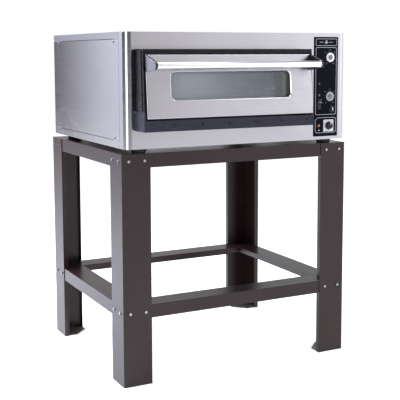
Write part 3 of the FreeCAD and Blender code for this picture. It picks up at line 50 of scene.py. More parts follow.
class Finish:
    """A node material round one Principled shader, with the steps that the finishes share."""

    def __init__(self, name, **inputs):
        self.material = bpy.data.materials.new(name)
        self.material.use_nodes = True
        self.tree = self.material.node_tree
        self.tree.nodes.clear()
        self.shader = self.node("ShaderNodeBsdfPrincipled")
        output = self.node("ShaderNodeOutputMaterial")
        self.tree.links.new(self.shader.outputs["BSDF"], output.inputs["Surface"])
        self.place = self.node("ShaderNodeTexCoord").outputs["Object"]
        for key, value in inputs.items():
            self.give(key.replace("_", " ").title().replace("Ior", "IOR"), value)

    def node(self, kind, **settings):
        made = self.tree.nodes.new(kind)
        for key, value in settings.items():
            setattr(made, key, value)
        return made

    def feed(self, socket, value):
        if isinstance(value, bpy.types.NodeSocket):
            self.tree.links.new(value, socket)
        elif isinstance(value, tuple) and len(value) == 3 and socket.type == "RGBA":
            socket.default_value = (*value, 1)
        else:
            socket.default_value = value

    def give(self, name, value):
        self.feed(self.shader.inputs[name], value)

    def stretched(self, scale):
        """Object coordinates, scaled apart along the three axes."""
        mapping = self.node("ShaderNodeMapping")
        self.feed(mapping.inputs["Vector"], self.place)
        mapping.inputs["Scale"].default_value = scale
        return mapping.outputs["Vector"]

    def noise(self, scale, detail=3.0, rough=0.55, warp=0.0):
        """Noise from 0 to 1. scale is in waves a metre, one number or one for each axis."""
        made = self.node("ShaderNodeTexNoise")
        made.inputs["Detail"].default_value = detail
        made.inputs["Roughness"].default_value = rough
        made.inputs["Distortion"].default_value = warp
        spread = scale if isinstance(scale, tuple) else (scale,) * 3
        made.inputs["Scale"].default_value = 1.0
        self.feed(made.inputs["Vector"], self.stretched(spread))
        return made.outputs["Fac"]

    def cells(self, scale, feature="F1"):
        made = self.node("ShaderNodeTexVoronoi", feature=feature)
        made.inputs["Scale"].default_value = scale
        self.feed(made.inputs["Vector"], self.place)
        return made

    def span(self, value, low, high, start=0.0, end=1.0, smooth=False):
        """value from start..end mapped to low..high, and kept there."""
        made = self.node("ShaderNodeMapRange", interpolation_type="SMOOTHSTEP" if smooth else "LINEAR")
        for name, given in (("Value", value), ("From Min", start), ("From Max", end),
                            ("To Min", low), ("To Max", high)):
            self.feed(made.inputs[name], given)
        return made.outputs["Result"]

    def sum(self, a, b, operation="ADD"):
        made = self.node("ShaderNodeMath", operation=operation)
        self.feed(made.inputs[0], a)
        self.feed(made.inputs[1], b)
        return made.outputs[0]

    def blend(self, amount, a, b):
        """Colour a where amount is 0 and b where it is 1."""
        made = self.node("ShaderNodeMix", data_type="RGBA")
        self.feed(made.inputs[0], amount)
        self.feed(made.inputs[6], a)
        self.feed(made.inputs[7], b)
        return made.outputs[2]

    def axis(self, name):
        """One of the object coordinates, X, Y or Z."""
        made = self.node("ShaderNodeSeparateXYZ")
        self.feed(made.inputs[0], self.place)
        return made.outputs[name]

    def relief(self, height, depth, strength=1.0, base=None):
        """A bump of that depth in metres, on top of base."""
        made = self.node("ShaderNodeBump")
        made.inputs["Strength"].default_value = strength
        made.inputs["Distance"].default_value = depth
        self.feed(made.inputs["Height"], height)
        if base is not None:
            self.feed(made.inputs["Normal"], base)
        return made.outputs["Normal"]

    def eased(self, radius):
        """The normal with its edges eased by that radius."""
        made = self.node("ShaderNodeBevel", samples=4)
        made.inputs["Radius"].default_value = radius
        return made.outputs["Normal"]

    def worn(self, radius, start=0.02, end=0.25):
        """1 on edges and 0 on flats, from how far the eased normal turns away."""
        eased = self.eased(radius)
        flat = self.node("ShaderNodeNewGeometry").outputs["Normal"]
        dot = self.node("ShaderNodeVectorMath", operation="DOT_PRODUCT")
        self.feed(dot.inputs[0], eased)
        self.feed(dot.inputs[1], flat)
        return self.span(self.sum(1.0, dot.outputs["Value"], "SUBTRACT"), 0.0, 1.0, start, end)


def brushed_steel(name, tone, rough, grain, turn=0.25, stretch=0.86, edge=0.0006, smudge=0.05):
    """Ground sheet steel: fine lines along the sheet, faint clouds and finger smudges."""
    made = Finish(name, metallic=1.0, anisotropic=stretch, anisotropic_rotation=turn)
    made.give("Tangent", made.node("ShaderNodeTangent", direction_type="RADIAL", axis="Z").outputs[0])
    lines = made.noise(grain, 4.0, 0.7)
    clouds = made.noise(2.2, 3.0, 0.5, 0.4)
    smears = made.noise((7.0, 7.0, 13.0), 5.0, 0.6, 1.2)
    dark = tuple(part * 0.90 for part in tone)
    light = tuple(min(1.0, part * 1.07) for part in tone)
    shade = made.sum(made.span(lines, 0.0, 0.55, 0.3, 0.7), made.span(clouds, 0.0, 0.45, 0.3, 0.7))
    made.give("Base Color", made.blend(shade, dark, light))
    streaks = made.span(lines, rough - 0.03, rough + 0.04, 0.3, 0.7)
    prints = made.span(smears, 0.0, smudge, 0.52, 0.75, True)
    made.give("Roughness", made.sum(streaks, prints))
    made.give("Normal", made.relief(lines, 0.00003, 0.3, made.eased(edge)))
    return made.material


def polished_edge():
    """A buffed stainless trim with faint cross scratches."""
    made = Finish("polished_trim", metallic=1.0)
    scratch = made.noise((60.0, 900.0, 900.0), 3.0, 0.6)
    made.give("Base Color", made.blend(made.span(scratch, 0, 1, 0.35, 0.7), (0.66, 0.66, 0.68),
                                       (0.78, 0.78, 0.80)))
    made.give("Roughness", made.span(scratch, 0.12, 0.22, 0.3, 0.7))
    made.give("Normal", made.relief(scratch, 0.00002, 0.3, made.eased(0.0004)))
    return made.material


def stand_paint():
    """Dark taupe stove enamel with orange peel, dust and thin bright wear on the edges."""
    made = Finish("stand_enamel", specular_ior_level=0.42)
    clouds = made.noise(5.0, 4.0, 0.6)
    dust = made.noise((60.0, 60.0, 24.0), 5.0, 0.7, 0.6)
    body = made.blend(made.span(clouds, 0, 1, 0.3, 0.7), (0.0120, 0.0034, 0.0034), (0.0170, 0.0062, 0.0064))
    dusty = made.blend(made.span(dust, 0.0, 0.16, 0.5, 0.8), body, (0.040, 0.034, 0.036))
    wear = made.sum(made.worn(0.0012), made.span(made.noise(90.0), 0, 1, 0.45, 0.7), "MULTIPLY")
    made.give("Base Color", made.blend(made.sum(wear, 0.55, "MULTIPLY"), dusty, (0.16, 0.15, 0.15)))
    made.give("Roughness", made.sum(made.span(dust, 0.24, 0.38), made.sum(wear, 0.1, "MULTIPLY")))
    made.give("Normal", made.relief(made.noise(420.0, 2.0), 0.00012, 0.35, made.eased(0.0011)))
    return made.material


def black_enamel():
    """Satin black enamel of the door surround: heat haze, rubbed edges, and a lighter blue-grey on the
    sill, below z 1.024 to 1.040.
    """
    made = Finish("surround_enamel", specular_ior_level=0.20)
    clouds = made.noise(9.0, 4.0, 0.6, 0.5)
    scuffs = made.noise((30.0, 30.0, 160.0), 4.0, 0.7)
    body = made.blend(made.span(clouds, 0, 1, 0.3, 0.7), (0.003, 0.003, 0.005), (0.008, 0.008, 0.012))
    # Below z 1.024, fading out by z 1.040, the enamel is mixed toward a lighter blue-grey, a little patchy
    # with the scuffs.
    sill = made.span(made.axis("Z"), 0.85, 0.0, 1.024, 1.040)
    body = made.blend(made.sum(sill, made.span(scuffs, 0.6, 1.0), "MULTIPLY"), body, (0.030, 0.031, 0.050))
    wear = made.sum(made.worn(0.0010), made.span(scuffs, 0.1, 1, 0.4, 0.65), "MULTIPLY")
    made.give("Base Color", made.blend(made.sum(wear, 0.5, "MULTIPLY"), body, (0.12, 0.12, 0.13)))
    made.give("Roughness", made.span(scuffs, 0.22, 0.40, 0.3, 0.8))
    made.give("Normal", made.relief(made.noise(600.0, 2.0), 0.00008, 0.3, made.eased(0.0010)))
    return made.material


def bracket_enamel():
    """The handle brackets: black enamel, and a ground face on the outside of the left one."""
    made = Finish("bracket_enamel", specular_ior_level=0.3)
    rubs = made.noise((40.0, 25.0, 40.0), 4.0, 0.7, 0.4)
    black = made.blend(made.span(rubs, 0, 1, 0.35, 0.7), (0.004, 0.004, 0.006), (0.012, 0.012, 0.015))
    bare = made.span(made.axis("X"), 1.0, 0.0, BRACKET_FACE + 0.0004, BRACKET_FACE + 0.0009)
    made.give("Base Color", made.blend(bare, black, (0.30, 0.30, 0.33)))
    made.give("Metallic", bare)
    made.give("Roughness", made.span(rubs, 0.20, 0.34, 0.3, 0.7))
    made.give("Normal", made.relief(made.noise(500.0, 2.0), 0.00005, 0.25, made.eased(0.0012)))
    return made.material


def panel_gloss():
    """Printed blue-black control foil under a clear coat, with dust specks."""
    made = Finish("panel_foil", specular_ior_level=0.06)
    tint = made.noise(14.0, 3.0, 0.5)
    specks = made.cells(900.0).outputs["Distance"]
    body = made.blend(made.span(tint, 0, 1, 0.3, 0.7), (0.0012, 0.0018, 0.0060), (0.0024, 0.0036, 0.0100))
    dusty = made.blend(made.span(specks, 0.35, 0.0, 0.0, 0.16), body, (0.010, 0.011, 0.016))
    made.give("Base Color", dusty)
    made.give("Roughness", made.span(tint, 0.18, 0.30, 0.3, 0.7))
    made.give("Normal", made.relief(made.noise(1400.0, 2.0), 0.00002, 0.2, made.eased(0.0006)))
    return made.material


def zinc():
    """Bright passivated zinc with a soft crystalline mottle."""
    made = Finish("bright_zinc", metallic=1.0)
    grains = made.cells(700.0).outputs["Color"]
    film = made.noise(120.0, 3.0)
    made.give("Base Color", made.blend(made.span(film, 0, 1, 0.35, 0.7), (0.30, 0.30, 0.32),
                                       (0.44, 0.43, 0.43)))
    made.give("Roughness", made.span(grains, 0.20, 0.36))
    made.give("Normal", made.relief(film, 0.00005, 0.3, made.eased(0.0003)))
    return made.material


def dulled_zinc():
    """Casing screws: black oxide on the hot front, dull grey zinc elsewhere."""
    made = Finish("casing_screw", metallic=1.0)
    film = made.noise(150.0, 3.0)
    front = made.span(made.axis("Y"), 1.0, 0.0, FRONT - 14 * MM, FRONT - 9 * MM)
    grey = made.blend(film, (0.10, 0.10, 0.115), (0.20, 0.20, 0.215))
    made.give("Base Color", made.blend(front, grey, (0.022, 0.022, 0.026)))
    made.give("Roughness", made.span(film, 0.28, 0.42))
    made.give("Normal", made.relief(film, 0.00005, 0.3, made.eased(0.0003)))
    return made.material


def aluminised():
    """Aluminised sheet: dull silver with a fine spangle and brown heat tint in places."""
    made = Finish("aluminised_sheet", metallic=1.0)
    spangle = made.cells(160.0).outputs["Color"]
    heat = made.noise(4.0, 4.0, 0.6, 0.8)
    plain = made.blend(made.span(spangle, 0, 1), (0.50, 0.50, 0.49), (0.60, 0.60, 0.59))
    made.give("Base Color", made.blend(made.span(heat, 0.0, 0.5, 0.5, 0.75), plain, (0.42, 0.34, 0.24)))
    made.give("Roughness", made.span(spangle, 0.34, 0.50))
    made.give("Normal", made.relief(made.noise(240.0, 3.0), 0.00006, 0.3, made.eased(0.0005)))
    return made.material


def plate_steel():
    """The bare foot plates: olive-grey mill scale, scratched where they are dragged."""
    made = Finish("foot_plate_steel", metallic=0.75)
    scale = made.noise(45.0, 5.0, 0.65, 0.8)
    scratch = made.noise((400.0, 14.0, 14.0), 3.0, 0.6)
    made.give("Base Color", made.blend(made.span(scale, 0, 1, 0.35, 0.65), (0.15, 0.15, 0.125),
                                       (0.30, 0.295, 0.25)))
    made.give("Roughness", made.span(scratch, 0.38, 0.62, 0.3, 0.7))
    made.give("Normal", made.relief(scale, 0.00015, 0.4, made.eased(0.0006)))
    return made.material


def rubber():
    """Black moulded rubber with a chalky bloom."""
    made = Finish("foot_rubber", specular_ior_level=0.35)
    bloom = made.noise(70.0, 5.0, 0.7)
    made.give("Base Color", made.blend(made.span(bloom, 0, 1, 0.4, 0.75), (0.010, 0.010, 0.011),
                                       (0.038, 0.037, 0.037)))
    made.give("Roughness", made.span(bloom, 0.55, 0.75))
    made.give("Normal", made.relief(made.noise(900.0, 2.0), 0.0001, 0.4, made.eased(0.0008)))
    return made.material


def stone():
    """Cordierite baking stone: sandy body, dark grit and brown baking marks."""
    made = Finish("cordierite", specular_ior_level=0.2)
    sand = made.noise(260.0, 4.0, 0.7)
    grit = made.cells(420.0).outputs["Distance"]
    marks = made.noise(7.0, 5.0, 0.6, 0.7)
    base = made.blend(made.span(sand, 0, 1, 0.35, 0.65), (0.40, 0.34, 0.26), (0.56, 0.50, 0.41))
    speckled = made.blend(made.span(grit, 0.7, 0.0, 0.0, 0.14), base, (0.14, 0.11, 0.08))
    made.give("Base Color", made.blend(made.span(marks, 0.0, 0.65, 0.5, 0.72), speckled,
                                       (0.16, 0.10, 0.06)))
    made.give("Roughness", made.span(sand, 0.82, 0.96))
    made.give("Normal", made.relief(sand, 0.0004, 0.5, made.eased(0.0015)))
    return made.material


def element():
    """Oxidised heater sheath: grey-brown, darker in patches."""
    made = Finish("heater_sheath", metallic=0.7)
    oxide = made.noise(60.0, 5.0, 0.7, 0.6)
    made.give("Base Color", made.blend(made.span(oxide, 0, 1, 0.35, 0.65), (0.06, 0.052, 0.046),
                                       (0.17, 0.15, 0.13)))
    made.give("Roughness", made.span(oxide, 0.42, 0.62))
    made.give("Normal", made.relief(made.noise(700.0), 0.0001, 0.4))
    return made.material


def wool():
    """Mineral wool: tangled yellow-grey fibres."""
    made = Finish("mineral_wool", specular_ior_level=0.1)
    fibre = made.noise((500.0, 90.0, 500.0), 5.0, 0.8, 3.0)
    made.give("Base Color", made.blend(fibre, (0.30, 0.26, 0.16), (0.60, 0.54, 0.37)))
    made.give("Roughness", made.span(fibre, 0.90, 1.0))
    made.give("Normal", made.relief(fibre, 0.002, 0.8))
    return made.material


def glass(name, tint, rough, film_colour, film, cover=(0.04, 0.04)):
    """Clear glass with a baked-on film in random patches. Where cover's two ends differ, the film is also
    made thicker at the left than at the right as a painted sheen: a lighter, hazier left side that stands
    in for reflected light.
    """
    made = Finish(name, ior=1.5)
    haze = made.noise(11.0, 5.0, 0.6, 1.0)
    # Painted sheen: the film's amount runs from cover[0] at the left to cover[1] at the right, lightening
    # the left side in place of a reflection.
    side = made.span(made.axis("X"), cover[0], cover[1], -0.36, 0.10, True)
    film_and_painted_sheen = made.sum(side, made.span(haze, 0.7, 1.3, 0.3, 0.7), "MULTIPLY")
    made.give("Transmission Weight", made.sum(1.0, film_and_painted_sheen, "SUBTRACT"))
    made.give("Base Color", made.blend(made.span(haze, 0.0, film, 0.4, 0.8), tint, film_colour))
    made.give("Roughness", made.span(haze, rough, rough + 0.05, 0.4, 0.8))
    made.give("Normal", made.relief(made.noise(6.0), 0.0002, 0.15))
    return made.material


def plastic(name, tone, rough, grain=0.00006, gloss=0.5):
    """Moulded plastic: an even tone with a slight mottle and a fine spark-eroded grain."""
    made = Finish(name, specular_ior_level=gloss)
    mottle = made.noise(45.0, 3.0)
    dark = tuple(part * 0.85 for part in tone)
    light = tuple(min(1.0, part * 1.12) for part in tone)
    made.give("Base Color", made.blend(made.span(mottle, 0, 1, 0.3, 0.7), dark, light))
    made.give("Roughness", made.span(mottle, rough, rough + 0.12, 0.3, 0.7))
    made.give("Normal", made.relief(made.noise(1800.0, 2.0), grain, 0.35, made.eased(0.0004)))
    return made.material


def silver_knob():
    """Silver-lacquered knob: a bright skirt, painted a darker blue-grey as shade on the knobs below z 1.13,
    and a grey grip where fingers wear it.
    """
    made = Finish("silver_knob", metallic=0.35, specular_ior_level=0.6)
    depth = made.axis("Y")
    rub = made.noise(160.0, 4.0, 0.7)
    bright = made.blend(made.span(rub, 0, 1, 0.3, 0.7), (0.74, 0.75, 0.78), (0.90, 0.90, 0.92))
    worn = made.blend(made.span(rub, 0, 1, 0.3, 0.7), (0.16, 0.165, 0.18), (0.27, 0.275, 0.29))
    # Painted shade: below z 1.13 the skirt's bright silver turns a dark blue-grey, so the lower knob reads
    # as shaded.
    skirt_with_painted_shade = made.blend(made.span(made.axis("Z"), 1.0, 0.0, 1.13, 1.15), bright, (0.33, 0.35, 0.39))
    grip = made.span(depth, 1.0, 0.0, SKIRT_FACE - 1.6 * MM, SKIRT_FACE - 0.1 * MM)
    made.give("Base Color", made.blend(grip, skirt_with_painted_shade, worn))
    made.give("Roughness", made.span(rub, 0.26, 0.40, 0.3, 0.7))
    made.give("Normal", made.relief(made.noise(1500.0, 2.0), 0.00003, 0.3, made.eased(0.0005)))
    return made.material


def lamp_caps():
    """Indicator lenses: a glowing amber one below, and two clear ones that are off."""
    made = Finish("lamp_caps", transmission_weight=0.35, ior=1.5)
    low = made.span(made.axis("Z"), 1.0, 0.0, 0.96, 0.97)
    grain = made.noise(900.0, 2.0)
    clear = made.blend(grain, (0.07, 0.08, 0.12), (0.14, 0.15, 0.20))
    amber = made.blend(grain, (0.42, 0.15, 0.05), (0.55, 0.22, 0.08))
    made.give("Base Color", made.blend(low, clear, amber))
    made.give("Emission Color", (1.0, 0.32, 0.05))
    made.give("Emission Strength", made.sum(low, 0.10, "MULTIPLY"))
    made.give("Roughness", made.span(grain, 0.10, 0.22))
    made.give("Normal", made.relief(made.cells(1500.0).outputs["Distance"], 0.0001, 0.4))
    return made.material


def print_ink(name, tone):
    """Screen-printed ink, thin and slightly uneven."""
    made = Finish(name, metallic=0.2)
    cover = made.noise(500.0, 3.0)
    made.give("Base Color", made.blend(made.span(cover, 0, 1, 0.3, 0.7),
                                       tuple(part * 0.85 for part in tone), tone))
    made.give("Roughness", made.span(cover, 0.30, 0.45))
    return made.material


def silicone():
    """Black silicone sealant, slightly uneven and dusty."""
    made = Finish("silicone_bead", specular_ior_level=0.4)
    skin = made.noise(240.0, 4.0)
    made.give("Base Color", made.blend(skin, (0.010, 0.010, 0.012), (0.030, 0.030, 0.032)))
    made.give("Roughness", made.span(skin, 0.40, 0.60))
    made.give("Normal", made.relief(skin, 0.0002, 0.4))
    return made.material


def weld():
    """A ground weld, blue-brown at its rim."""
    made = Finish("ground_weld", metallic=1.0)
    heat = made.noise(300.0, 4.0, 0.7)
    made.give("Base Color", made.blend(made.span(heat, 0, 1, 0.35, 0.65), (0.32, 0.30, 0.33),
                                       (0.62, 0.57, 0.50)))
    made.give("Roughness", made.span(heat, 0.25, 0.45))
    made.give("Normal", made.relief(heat, 0.0002, 0.5))
    return made.material


STEEL = (0.47, 0.462, 0.482)
BRACKET_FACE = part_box("handle_brackets")[0].x
ALONG_SHEET = (3.0, 3.0, 950.0)
finishes = {
    "stand_paint": stand_paint(),
    "zinc": zinc(),
    "plate_steel": plate_steel(),
    "stainless": brushed_steel("brushed_steel", STEEL, 0.17, ALONG_SHEET),
    "aluminised": aluminised(),
    "surround_black": black_enamel(),
    "rubber": rubber(),
    "stone": stone(),
    "element": element(),
    "wool": wool(),
    # The door glass's film runs from 0.20 at the left to 0.03 at the right: a painted sheen on its left
    # side.
    "glass": glass("door_glass", (0.80, 0.87, 0.92), 0.01, (0.62, 0.70, 0.76), 0.5, (0.20, 0.03)),
    "glass_lamp": glass("lamp_glass", (0.95, 0.95, 0.90), 0.06, (0.80, 0.74, 0.60), 0.6),
    "panel_black": panel_gloss(),
    "knob_silver": silver_knob(),
    "knob_black": plastic("black_knob", (0.008, 0.010, 0.015), 0.30, 0.00006, 0.35),
    "switch_white": plastic("switch_plate", (0.66, 0.67, 0.68), 0.30),
    "lamp_amber": lamp_caps(),
    "component_grey": plastic("component_grey", (0.22, 0.23, 0.24), 0.45),
    "gland_black": plastic("gland_nylon", (0.018, 0.018, 0.019), 0.42, 0.0001),
}
node_finishes = {
    "handle_tube": brushed_steel("polished_tube", (0.80, 0.79, 0.80), 0.18, (2.0, 900.0, 900.0), 0.0, 0.4),
    "top_cover": brushed_steel("brushed_top", STEEL, 0.30, (3.0, 950.0, 950.0), 0.25, 0.6),
    "handle_brackets": bracket_enamel(),
    "casing_screws": dulled_zinc(),
}
for label, thing in nodes.items():
    own = thing.data.materials[0].name.split(".")[0]
    thing.data.materials[0] = node_finishes.get(label, finishes[own])

# ---------------------------------------------------------------- mesh helpers


def add_piece(name, mesh, body, material, turn=None):
    """Puts a finished bmesh into the scene as one piece that rides on a body."""
    bmesh.ops.recalc_face_normals(mesh, faces=mesh.faces)
    if turn is not None:
        mesh.transform(turn)
    data = bpy.data.meshes.new(name)
    mesh.to_mesh(data)
    mesh.free()
    data.materials.append(material)
    thing = bpy.data.objects.new(name, data)
    bpy.context.scene.collection.objects.link(thing)
    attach(thing, body)
    return thing


def smooth(thing):
    for face in thing.data.polygons:
        face.use_smooth = True


def rounded(left, right, low, high, radius, steps=5, chamfered=()):
    """Points round a rectangle with rounded corners. Corners in chamfered are cut straight."""
    points = []
    corners = ((right, high, 0), (left, high, 90), (left, low, 180), (right, low, 270))
    for number, (across, up, start) in enumerate(corners):
        middle_x = across - radius if number in (0, 3) else across + radius
        middle_z = up - radius if number in (0, 1) else up + radius
        for step in range(steps + 1):
            if number in chamfered:
                share = step / steps
                begin, end = math.radians(start), math.radians(start + 90)
                offset_x = math.cos(begin) * (1 - share) + math.cos(end) * share
                offset_z = math.sin(begin) * (1 - share) + math.sin(end) * share
            else:
                angle = math.radians(start + 90 * step / steps)
                offset_x, offset_z = math.cos(angle), math.sin(angle)
            points.append((middle_x + radius * offset_x, middle_z + radius * offset_z))
    return points


def flat_shape(mesh, points, front, depth):
    """A thin plate with that outline in x and z, from y = front back by depth."""
    near = [mesh.verts.new((x, front, z)) for x, z in points]
    far = [mesh.verts.new((x, front + depth, z)) for x, z in points]
    mesh.faces.new(near)
    mesh.faces.new(far[::-1])
    count = len(points)
    for k in range(count):
        mesh.faces.new((near[k], far[k], far[(k + 1) % count], near[(k + 1) % count]))


def flat_ring(mesh, outer, inner, front, depth):
    """A thin frame between two outlines that have the same number of points."""
    rows = [[mesh.verts.new((x, y, z)) for x, z in outline]
            for outline, y in ((outer, front), (inner, front), (inner, front + depth),
                               (outer, front + depth))]
    count = len(outer)
    for a, b in ((0, 1), (1, 2), (2, 3), (3, 0)):
        for k in range(count):
            after = (k + 1) % count
            mesh.faces.new((rows[a][k], rows[a][after], rows[b][after], rows[b][k]))


def stroke(mesh, start, end, width, front, depth):
    """A straight printed line between two (x, z) points."""
    along = (Vector(end) - Vector(start)).normalized() * (width / 2)
    side = Vector((-along.y, along.x))
    points = [Vector(start) - along + side, Vector(start) - along - side,
              Vector(end) + along - side, Vector(end) + along + side]
    flat_shape(mesh, [tuple(point) for point in points], front, depth)


def figure(mesh, text, across, up, height, front, depth):
    """A printed number, centred on a point of the panel."""
    font = bpy.data.curves.new("figure", "FONT")
    font.body = text
    font.size = height * 1.35
    font.extrude = depth / 2
    font.resolution_u = 2
    font.align_x = "CENTER"
    font.align_y = "CENTER"
    holder = bpy.data.objects.new("figure", font)
    bpy.context.scene.collection.objects.link(holder)
    bpy.context.view_layer.update()
    shape = bpy.data.meshes.new_from_object(holder)
    shape.transform(Matrix.Translation((across, front + depth / 2, up)) @ Matrix.Rotation(
        math.radians(90), 4, "X"))
    mesh.from_mesh(shape)
    bpy.data.objects.remove(holder)
    bpy.data.curves.remove(font)
    bpy.data.meshes.remove(shape)


def tube(mesh, path, radius, sides=10, closed=True):
    """A round tube along points, its section kept square to the path."""
    count = len(path)
    rings = []
    for k, point in enumerate(path):
        before = path[(k - 1) % count] if closed or k else path[0]
        after = path[(k + 1) % count] if closed or k < count - 1 else path[-1]
        along = (after - before).normalized()
        helper = Vector((0, 1, 0)) if abs(along.y) < 0.9 else Vector((1, 0, 0))
        first = along.cross(helper).normalized()
        second = along.cross(first)
        rings.append([mesh.verts.new(point + first * (radius * math.cos(turn))
                                     + second * (radius * math.sin(turn)))
                      for turn in (2 * math.pi * side / sides for side in range(sides))])
    for k in range(count if closed else count - 1):
        here, there = rings[k], rings[(k + 1) % count]
        for side in range(sides):
            beside = (side + 1) % sides
            mesh.faces.new((here[side], here[beside], there[beside], there[side]))
    if not closed:
        mesh.faces.new(rings[0][::-1])
        mesh.faces.new(rings[-1])


# ---------------------------------------------------------------- control panel print

LEFT, BASE = -0.4815, 0.892   # the casing's left side and its underside


def spot(across, up):
    """A place on the front, from millimetres off the casing's left side and underside."""
    return LEFT + across * MM, BASE + up * MM


panel_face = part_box("control_panel")[0].y
INK = 0.12 * MM
ink_front = panel_face - INK
light_ink = print_ink("silver_ink", (0.50, 0.51, 0.53))
white_ink = print_ink("white_ink", (0.80, 0.81, 0.82))
faint_ink = print_ink("faint_ink", (0.20, 0.205, 0.22))


def outline(left, right, low, high, radius, width, chamfered=()):
    """A printed frame round a part of the panel."""
    (x0, z0), (x1, z1) = spot(left, low), spot(right, high)
    w = width * MM
    outer = rounded(x0, x1, z0, z1, radius * MM, chamfered=chamfered)
    inner = rounded(x0 + w, x1 - w, z0 + w, z1 - w, (radius - width * 0.6) * MM, chamfered=chamfered)
    return outer, inner


frames = bmesh.new()
for left, right, low, high, radius, chamfered in (
        (816, 917, 374, 402, 5, ()), (816, 916, 99, 368, 7, ()), (816, 916, 26, 88, 10, (1,))):
    flat_ring(frames, *outline(left, right, low, high, radius, 1.6, chamfered), ink_front, INK)
add_piece("panel_outlines", frames, "oven", light_ink)

scales = bmesh.new()
DIAL_X, UPPER_DIAL_Z, LOWER_DIAL_Z = 884, 328, 172
SCALE_START, SCALE_SWEEP = 235, 290   # degrees: where a thermostat starts, and how far it turns
SCALE_STEPS = 18
FIRST_FIGURE, FIGURE_STEP = 50, 25
for dial_z in (UPPER_DIAL_Z, LOWER_DIAL_Z):
    for mark in range(SCALE_STEPS + 1):
        angle = math.radians(SCALE_START - SCALE_SWEEP * mark / SCALE_STEPS)
        long = mark % 2 == 0
        ends = [spot(DIAL_X + r * math.cos(angle), dial_z + r * math.sin(angle))
                for r in (23.0, 26.0 if long else 24.6)]
        stroke(scales, *ends, 0.7 * MM, ink_front, INK)
    for mark in (0, 6, 9, 12, 18):
        angle = math.radians(SCALE_START - SCALE_SWEEP * mark / SCALE_STEPS)
        across, up = spot(DIAL_X + 30.2 * math.cos(angle), dial_z + 30.2 * math.sin(angle))
        figure(scales, str(FIRST_FIGURE + FIGURE_STEP * mark), across, up, 4.2 * MM, ink_front, INK)
# The selector turns clockwise from 0 at the top, so its numbers run down the right.
SELECTOR = (892, 120)
SELECTOR_RING = 16
for number, turn in enumerate((90, 30, -30, -90)):
    angle = math.radians(turn)
    across, up = spot(SELECTOR[0] + SELECTOR_RING * math.cos(angle),
                      SELECTOR[1] + SELECTOR_RING * math.sin(angle))
    figure(scales, str(number), across, up, 4.6 * MM, ink_front, INK)
add_piece("panel_scales", scales, "oven", faint_ink)


def heat_sign(mesh, across, up, above):
    """Three rising waves over or under a bar, the usual sign for a heater's place."""
    bar = up + (9 if above else -9)
    stroke(mesh, spot(across - 9, bar), spot(across + 9, bar), 1.1 * MM, ink_front, INK)
    for column in (-6, 0, 6):
        points = [spot(across + column + 1.4 * math.sin(step * math.pi / 3), up - 5 + step * 10 / 9)
                  for step in range(10)]
        for start, end in zip(points, points[1:]):
            stroke(mesh, start, end, 0.7 * MM, ink_front, INK)


signs = bmesh.new()
heat_sign(signs, 839, 300, True)
heat_sign(signs, 839, 157, False)
across, up = spot(866, 388)
for ray in range(8):
    angle = math.radians(45 * ray)
    ends = [(across + r * MM * math.cos(angle), up + r * MM * math.sin(angle)) for r in (4.6, 8.2)]
    stroke(signs, *ends, 1.0 * MM, ink_front, INK)
sun = [(across + 3.2 * MM * math.cos(2 * math.pi * k / 20), up + 3.2 * MM * math.sin(2 * math.pi * k / 20))
       for k in range(20)]
flat_shape(signs, sun, ink_front, INK)
for start, end in ((834, 853), (879, 898)):
    stroke(signs, spot(start, 388), spot(end, 388), 1.0 * MM, ink_front, INK)
flat_shape(signs, [spot(834 + 2.6 * math.cos(2 * math.pi * k / 16), 37 + 2.6 * math.sin(
    2 * math.pi * k / 16)) for k in range(16)], ink_front, INK)
add_piece("panel_signs", signs, "oven", white_ink)

# ---------------------------------------------------------------- knobs and switch


def pointer(name, body, across, up, front, low, high, width, height):
    """A raised white bar on a knob's face."""
    mesh = bmesh.new()
    x, z = spot(across, up)
    plan = rounded(x - width / 2 * MM, x + width / 2 * MM, z + low * MM, z + high * MM,
                   width * 0.45 * MM)
    inset = rounded(x - (width / 2 - 0.4) * MM, x + (width / 2 - 0.4) * MM, z + (low + 0.4) * MM,
                    z + (high - 0.4) * MM, (width * 0.45 - 0.3) * MM)
    rows = [[mesh.verts.new((px, y, pz)) for px, pz in outline_points]
            for outline_points, y in ((plan, front), (plan, front - height * 0.6 * MM),
                                      (inset, front - height * MM))]
    count = len(plan)
    for a, b in ((0, 1), (1, 2)):
        for k in range(count):
            after = (k + 1) % count
            mesh.faces.new((rows[a][k], rows[a][after], rows[b][after], rows[b][k]))
    mesh.faces.new(rows[0])
    mesh.faces.new(rows[2][::-1])
    return add_piece(name, mesh, body, white_ink)


selector_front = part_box("selector_knob")[0].y
pointer("selector_pointer", "selector", *SELECTOR, selector_front, -4.0, 9.5, 3.4, 0.7)
switch_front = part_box("main_switch_knob")[0].y
MAIN_SWITCH = (879, 55)
pointer("main_switch_pointer", "main_switch", *MAIN_SWITCH, switch_front, 4.0, 14.0, 2.4, 0.6)
# At rest each thermostat's mark is at its scale's first figure.
for label, body, height in (("dial_mark_top", "upper_dial", UPPER_DIAL_Z),
                            ("dial_mark_bottom", "lower_dial", LOWER_DIAL_Z)):
    mark = bmesh.new()
    start = math.radians(SCALE_START)
    ends = [spot(DIAL_X + r * math.cos(start), height + r * math.sin(start)) for r in (11.8, 17.2)]
    stroke(mark, *ends, 1.3 * MM, SKIRT_FACE - 0.25 * MM, 0.3 * MM)
    add_piece(label, mark, body, finishes["knob_black"])

plate_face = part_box("main_switch_plate")[0].y
plate_print = bmesh.new()
for text, across, up in (("0", MAIN_SWITCH[0], 73.8), ("1", 897.8, MAIN_SWITCH[1])):
    x, z = spot(across, up)
    figure(plate_print, text, x, z, 3.2 * MM, plate_face - INK, INK)
flat_ring(plate_print, *outline(857.4, 900.6, 33.4, 76.6, 3, 0.5), plate_face - INK * 0.5, INK * 0.5)
add_piece("switch_plate_print", plate_print, "oven", finishes["knob_black"])

# ---------------------------------------------------------------- door details

